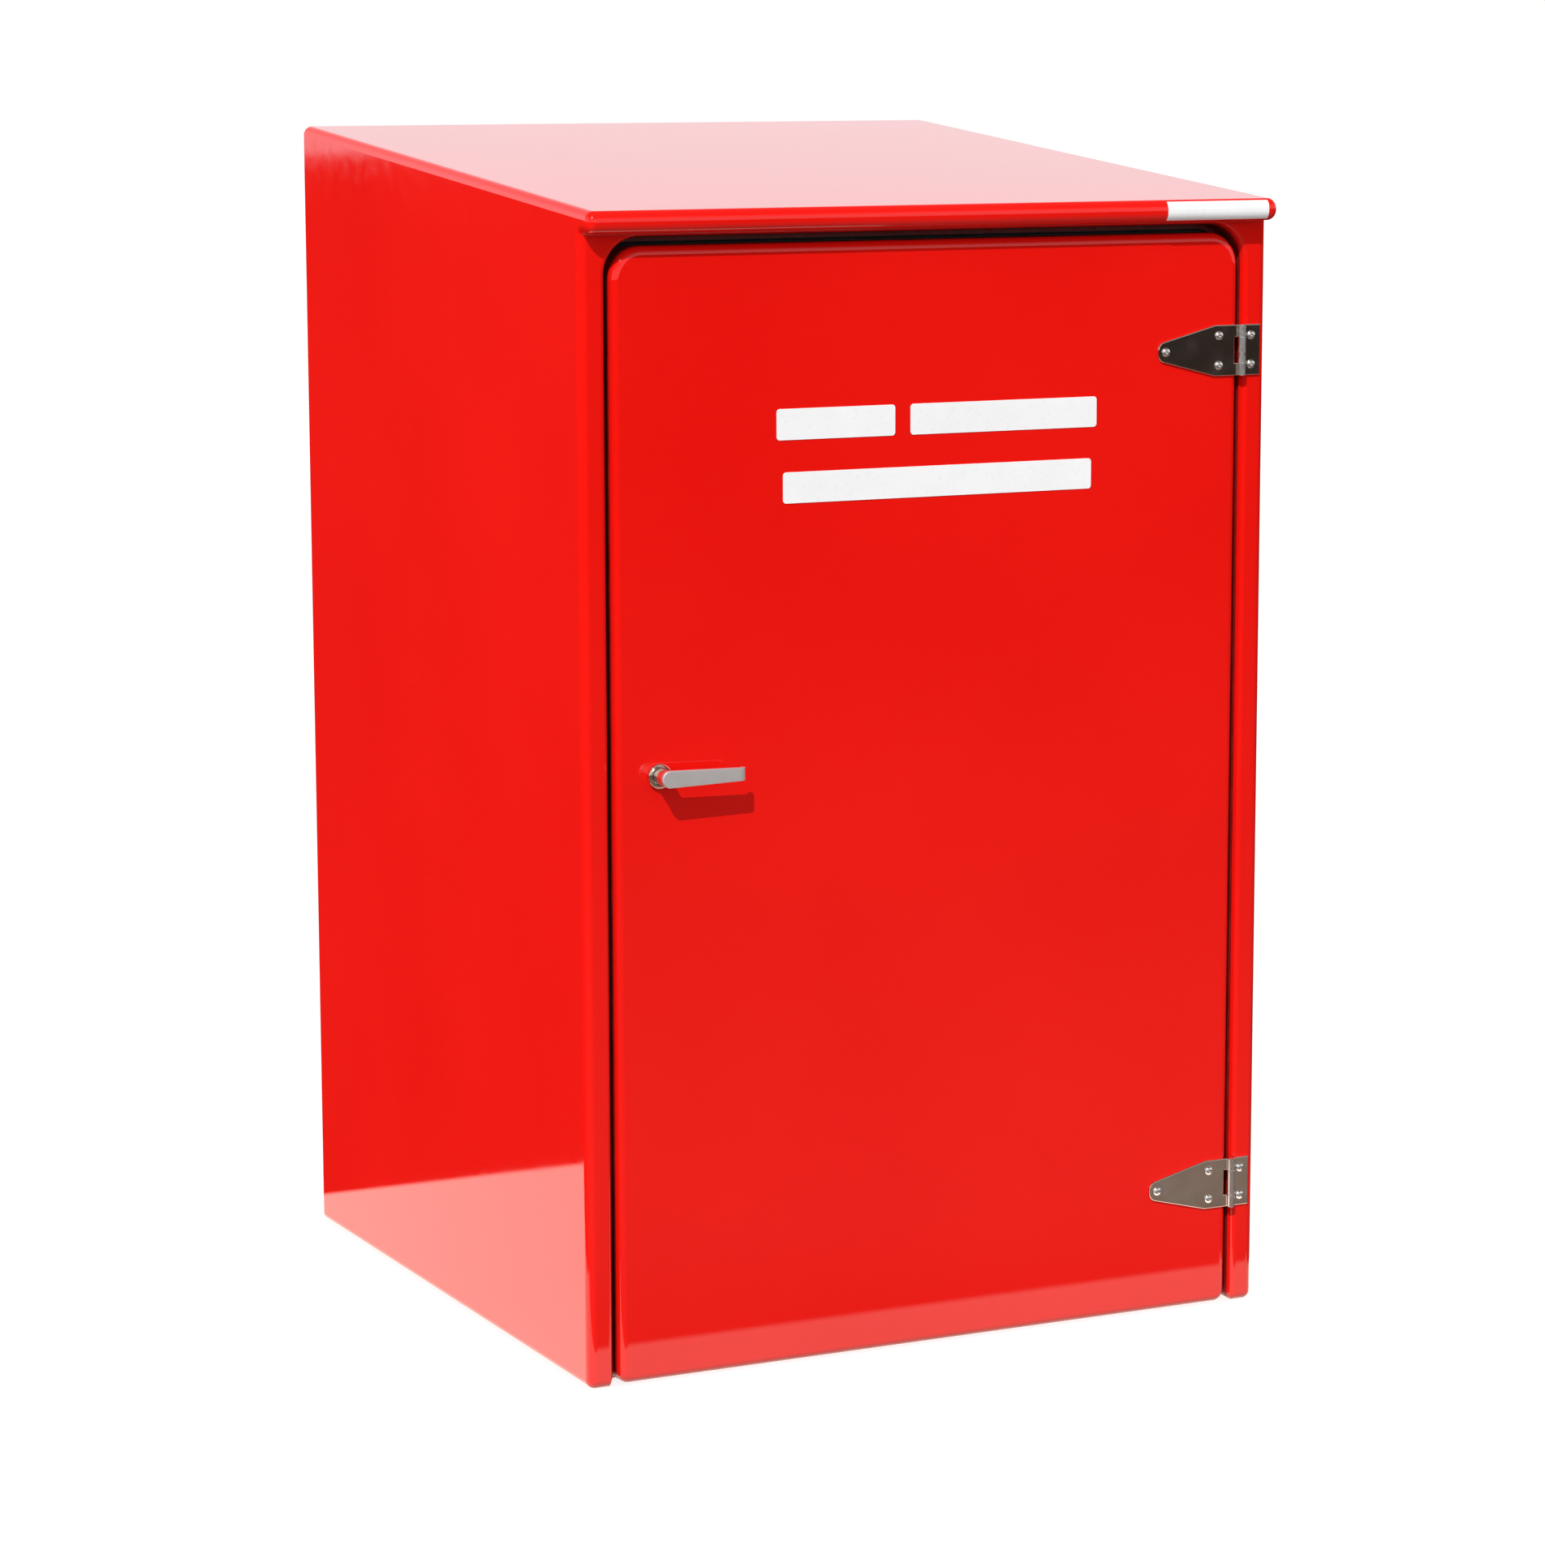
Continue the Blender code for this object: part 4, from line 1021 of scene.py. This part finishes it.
def dress_hidden_nodes():
    """The nodes that stay as they are take their fine material."""
    finishes = {"door_inner_panel": LAMINATE, "door_core": CORE}
    for side in ("lower", "upper"):
        for place in ("door", "jamb"):
            finishes[f"{side}_{place}_backing_plate"] = ZINC
    for node, made in finishes.items():
        mesh = frame["nodes"][node].data
        mesh.materials.clear()
        mesh.materials.append(made)


# Studio -------------------------------------------------------------------------------------------


def make_camera():
    """Stands to the left of the cabinet at a little over its height and looks slightly down."""
    lens = bpy.data.cameras.new("camera")
    lens.lens = CAMERA_LENS
    lens.sensor_width = CAMERA_SENSOR
    lens.clip_start, lens.clip_end = 0.1, 200.0
    camera = bpy.data.objects.new("camera", lens)
    bpy.context.scene.collection.objects.link(camera)
    turn = Matrix.Rotation(-CAMERA_YAW, 4, "Z") @ Matrix.Rotation(math.pi / 2 - CAMERA_PITCH, 4, "X")
    turn = turn @ Matrix.Rotation(CAMERA_ROLL, 4, "Z")
    camera.matrix_world = Matrix.Translation(CAMERA_PLACE) @ turn
    bpy.context.scene.camera = camera


def make_floor():
    """A pale floor. In reflections the apron round the cabinet is bright and the floor beyond is shaded."""
    corners = [(FLOOR_SIZE * x, FLOOR_SIZE * y, 0) for x, y in ((-1, -1), (1, -1), (1, 1), (-1, 1))]
    mesh = bpy.data.meshes.new("floor")
    mesh.from_pydata(corners, [], [(0, 1, 2, 3)])
    made = bpy.data.materials.new("pale_floor")
    made.use_nodes = True
    nodes, links = made.node_tree.nodes, made.node_tree.links
    nodes.remove(nodes["Principled BSDF"])
    path = nodes.new("ShaderNodeLightPath")

    def maths(operation, a, b=None, clamp=False):
        node = nodes.new("ShaderNodeMath")
        node.operation = operation
        node.use_clamp = clamp
        for index, value in enumerate((a, b)):
            if isinstance(value, (int, float)):
                node.inputs[index].default_value = value
            elif value is not None:
                links.new(value, node.inputs[index])
        return node.outputs[0]

    place = nodes.new("ShaderNodeTexCoord")
    split = nodes.new("ShaderNodeSeparateXYZ")
    links.new(place.outputs["Object"], split.inputs["Vector"])
    across = maths("SUBTRACT", split.outputs["X"], APRON_MIDDLE)
    side = maths("SUBTRACT", maths("ABSOLUTE", across), APRON_HALF_WIDTH)
    front = maths("SUBTRACT", maths("ABSOLUTE", split.outputs["Y"]), APRON_HALF_DEPTH)
    beyond = maths("MAXIMUM", side, front)
    apron = maths("SUBTRACT", 1.0, maths("DIVIDE", beyond, APRON_BLEND), clamp=True)
    fade = maths("EXPONENT", maths("DIVIDE", maths("MAXIMUM", beyond, 0.0), -FAR_FLOOR_FADE))
    ahead = maths("MULTIPLY", split.outputs["Y"], -1.0, clamp=True)
    fade = maths("MULTIPLY", fade, ahead)
    far = maths("ADD", maths("MULTIPLY", fade, FAR_FLOOR_GLOW), FAR_FLOOR_LEAST)
    beside = maths("GREATER_THAN", split.outputs["Y"], FRONT)
    beside = maths("MULTIPLY", beside, SIDE_APRON_GLOW - APRON_GLOW)
    shine = maths("ADD", maths("MULTIPLY", apron, maths("ADD", beside, APRON_GLOW)), far)
    shine = maths("MULTIPLY", shine, path.outputs["Is Glossy Ray"])
    lift = maths("MULTIPLY", path.outputs["Is Camera Ray"], FLOOR_LIFT)
    colour = nodes.new("ShaderNodeMix")
    colour.data_type = "RGBA"
    colour.inputs[6].default_value = (*FLOOR_COLOUR, 1.0)
    colour.inputs[7].default_value = (0.0, 0.0, 0.0, 1.0)
    links.new(path.outputs["Is Glossy Ray"], colour.inputs["Factor"])
    diffuse = nodes.new("ShaderNodeBsdfDiffuse")
    links.new(colour.outputs[2], diffuse.inputs["Color"])
    warm = nodes.new("ShaderNodeMix")
    warm.data_type = "RGBA"
    warm.inputs[6].default_value = (*FLOOR_SHINE_COLOUR, 1.0)
    warm.inputs[7].default_value = (1.0, 1.0, 1.0, 1.0)
    links.new(path.outputs["Is Camera Ray"], warm.inputs["Factor"])
    glow = nodes.new("ShaderNodeEmission")
    links.new(warm.outputs[2], glow.inputs["Color"])
    links.new(maths("ADD", shine, lift), glow.inputs["Strength"])
    both = nodes.new("ShaderNodeAddShader")
    links.new(diffuse.outputs["BSDF"], both.inputs[0])
    links.new(glow.outputs["Emission"], both.inputs[1])
    links.new(both.outputs["Shader"], nodes["Material Output"].inputs["Surface"])
    mesh.materials.append(made)
    floor = bpy.data.objects.new("floor", mesh)
    bpy.context.scene.collection.objects.link(floor)
    return floor


def make_sky():
    """White behind. It lights most from the horizon, and reflections see it brightest there and behind."""
    world = bpy.data.worlds.new("studio")
    world.use_nodes = True
    bpy.context.scene.world = world
    nodes, links = world.node_tree.nodes, world.node_tree.links
    path = nodes.new("ShaderNodeLightPath")
    place = nodes.new("ShaderNodeTexCoord")
    split = nodes.new("ShaderNodeSeparateXYZ")
    links.new(place.outputs["Generated"], split.inputs["Vector"])

    def graded(axis, low, high, at_low, at_high):
        node = nodes.new("ShaderNodeMapRange")
        limits = {"From Min": low, "From Max": high, "To Min": at_low, "To Max": at_high}
        for name, value in limits.items():
            node.inputs[name].default_value = value
        links.new(split.outputs[axis], node.inputs["Value"])
        return node.outputs["Result"]

    dome = nodes.new("ShaderNodeMath")
    dome.operation = "MULTIPLY"
    links.new(graded("Z", *SHINE_FALL, HORIZON_SHINE, ZENITH_SHINE), dome.inputs[0])
    links.new(graded("Y", *FRONT_TO_SIDE, FRONT_SHINE, 1.0), dome.inputs[1])

    shine = nodes.new("ShaderNodeMix")
    links.new(path.outputs["Is Glossy Ray"], shine.inputs["Factor"])
    links.new(graded("Z", 0.0, 1.0, HORIZON_LIGHT, ZENITH_LIGHT), shine.inputs["A"])
    links.new(dome.outputs[0], shine.inputs["B"])
    strength = nodes.new("ShaderNodeMix")
    strength.inputs["B"].default_value = 1.0
    links.new(path.outputs["Is Camera Ray"], strength.inputs["Factor"])
    links.new(shine.outputs["Result"], strength.inputs["A"])
    colour = nodes.new("ShaderNodeMix")
    colour.data_type = "RGBA"
    colour.inputs[6].default_value = (1.0, 1.0, 1.0, 1.0)
    colour.inputs[7].default_value = (*REAR_SHINE_COLOUR, 1.0)
    rear = nodes.new("ShaderNodeMath")
    rear.operation = "MULTIPLY"
    links.new(path.outputs["Is Glossy Ray"], rear.inputs[0])
    links.new(graded("Y", *SIDE_TO_REAR, 0.0, 1.0), rear.inputs[1])
    links.new(rear.outputs[0], colour.inputs["Factor"])
    background = nodes["Background"]
    links.new(colour.outputs[2], background.inputs["Color"])
    links.new(strength.outputs["Result"], background.inputs["Strength"])


def make_light(name, leave_out, azimuth, elevation, strength, spread, glint=True):
    """A parallel light from an azimuth, 0 in front and growing to the left. A fill has no glint."""
    light = bpy.data.lights.new(name, "SUN")
    light.energy = strength
    light.angle = math.radians(spread)
    lamp = bpy.data.objects.new(name, light)
    bpy.context.scene.collection.objects.link(lamp)
    turn = Matrix.Rotation(-math.radians(azimuth), 4, "Z")
    lamp.matrix_world = turn @ Matrix.Rotation(math.radians(90 - elevation), 4, "X")
    lamp.visible_glossy = glint
    lit = bpy.data.collections.new(name + "_lit")
    lit.objects.link(leave_out)
    lamp.light_linking.receiver_collection = lit
    lit.collection_objects[0].light_linking.link_state = "EXCLUDE"


make_camera()
make_shell()
make_door()
make_seal()
make_hinges()
make_latch()
make_markings()
dress_hidden_nodes()
floor = make_floor()
make_sky()
make_light("key", floor, **KEY_LIGHT)
make_light("side_fill", floor, **SIDE_FILL)
make_light("rear_fill", floor, **REAR_FILL)
bpy.context.scene.view_settings.view_transform = "Standard"
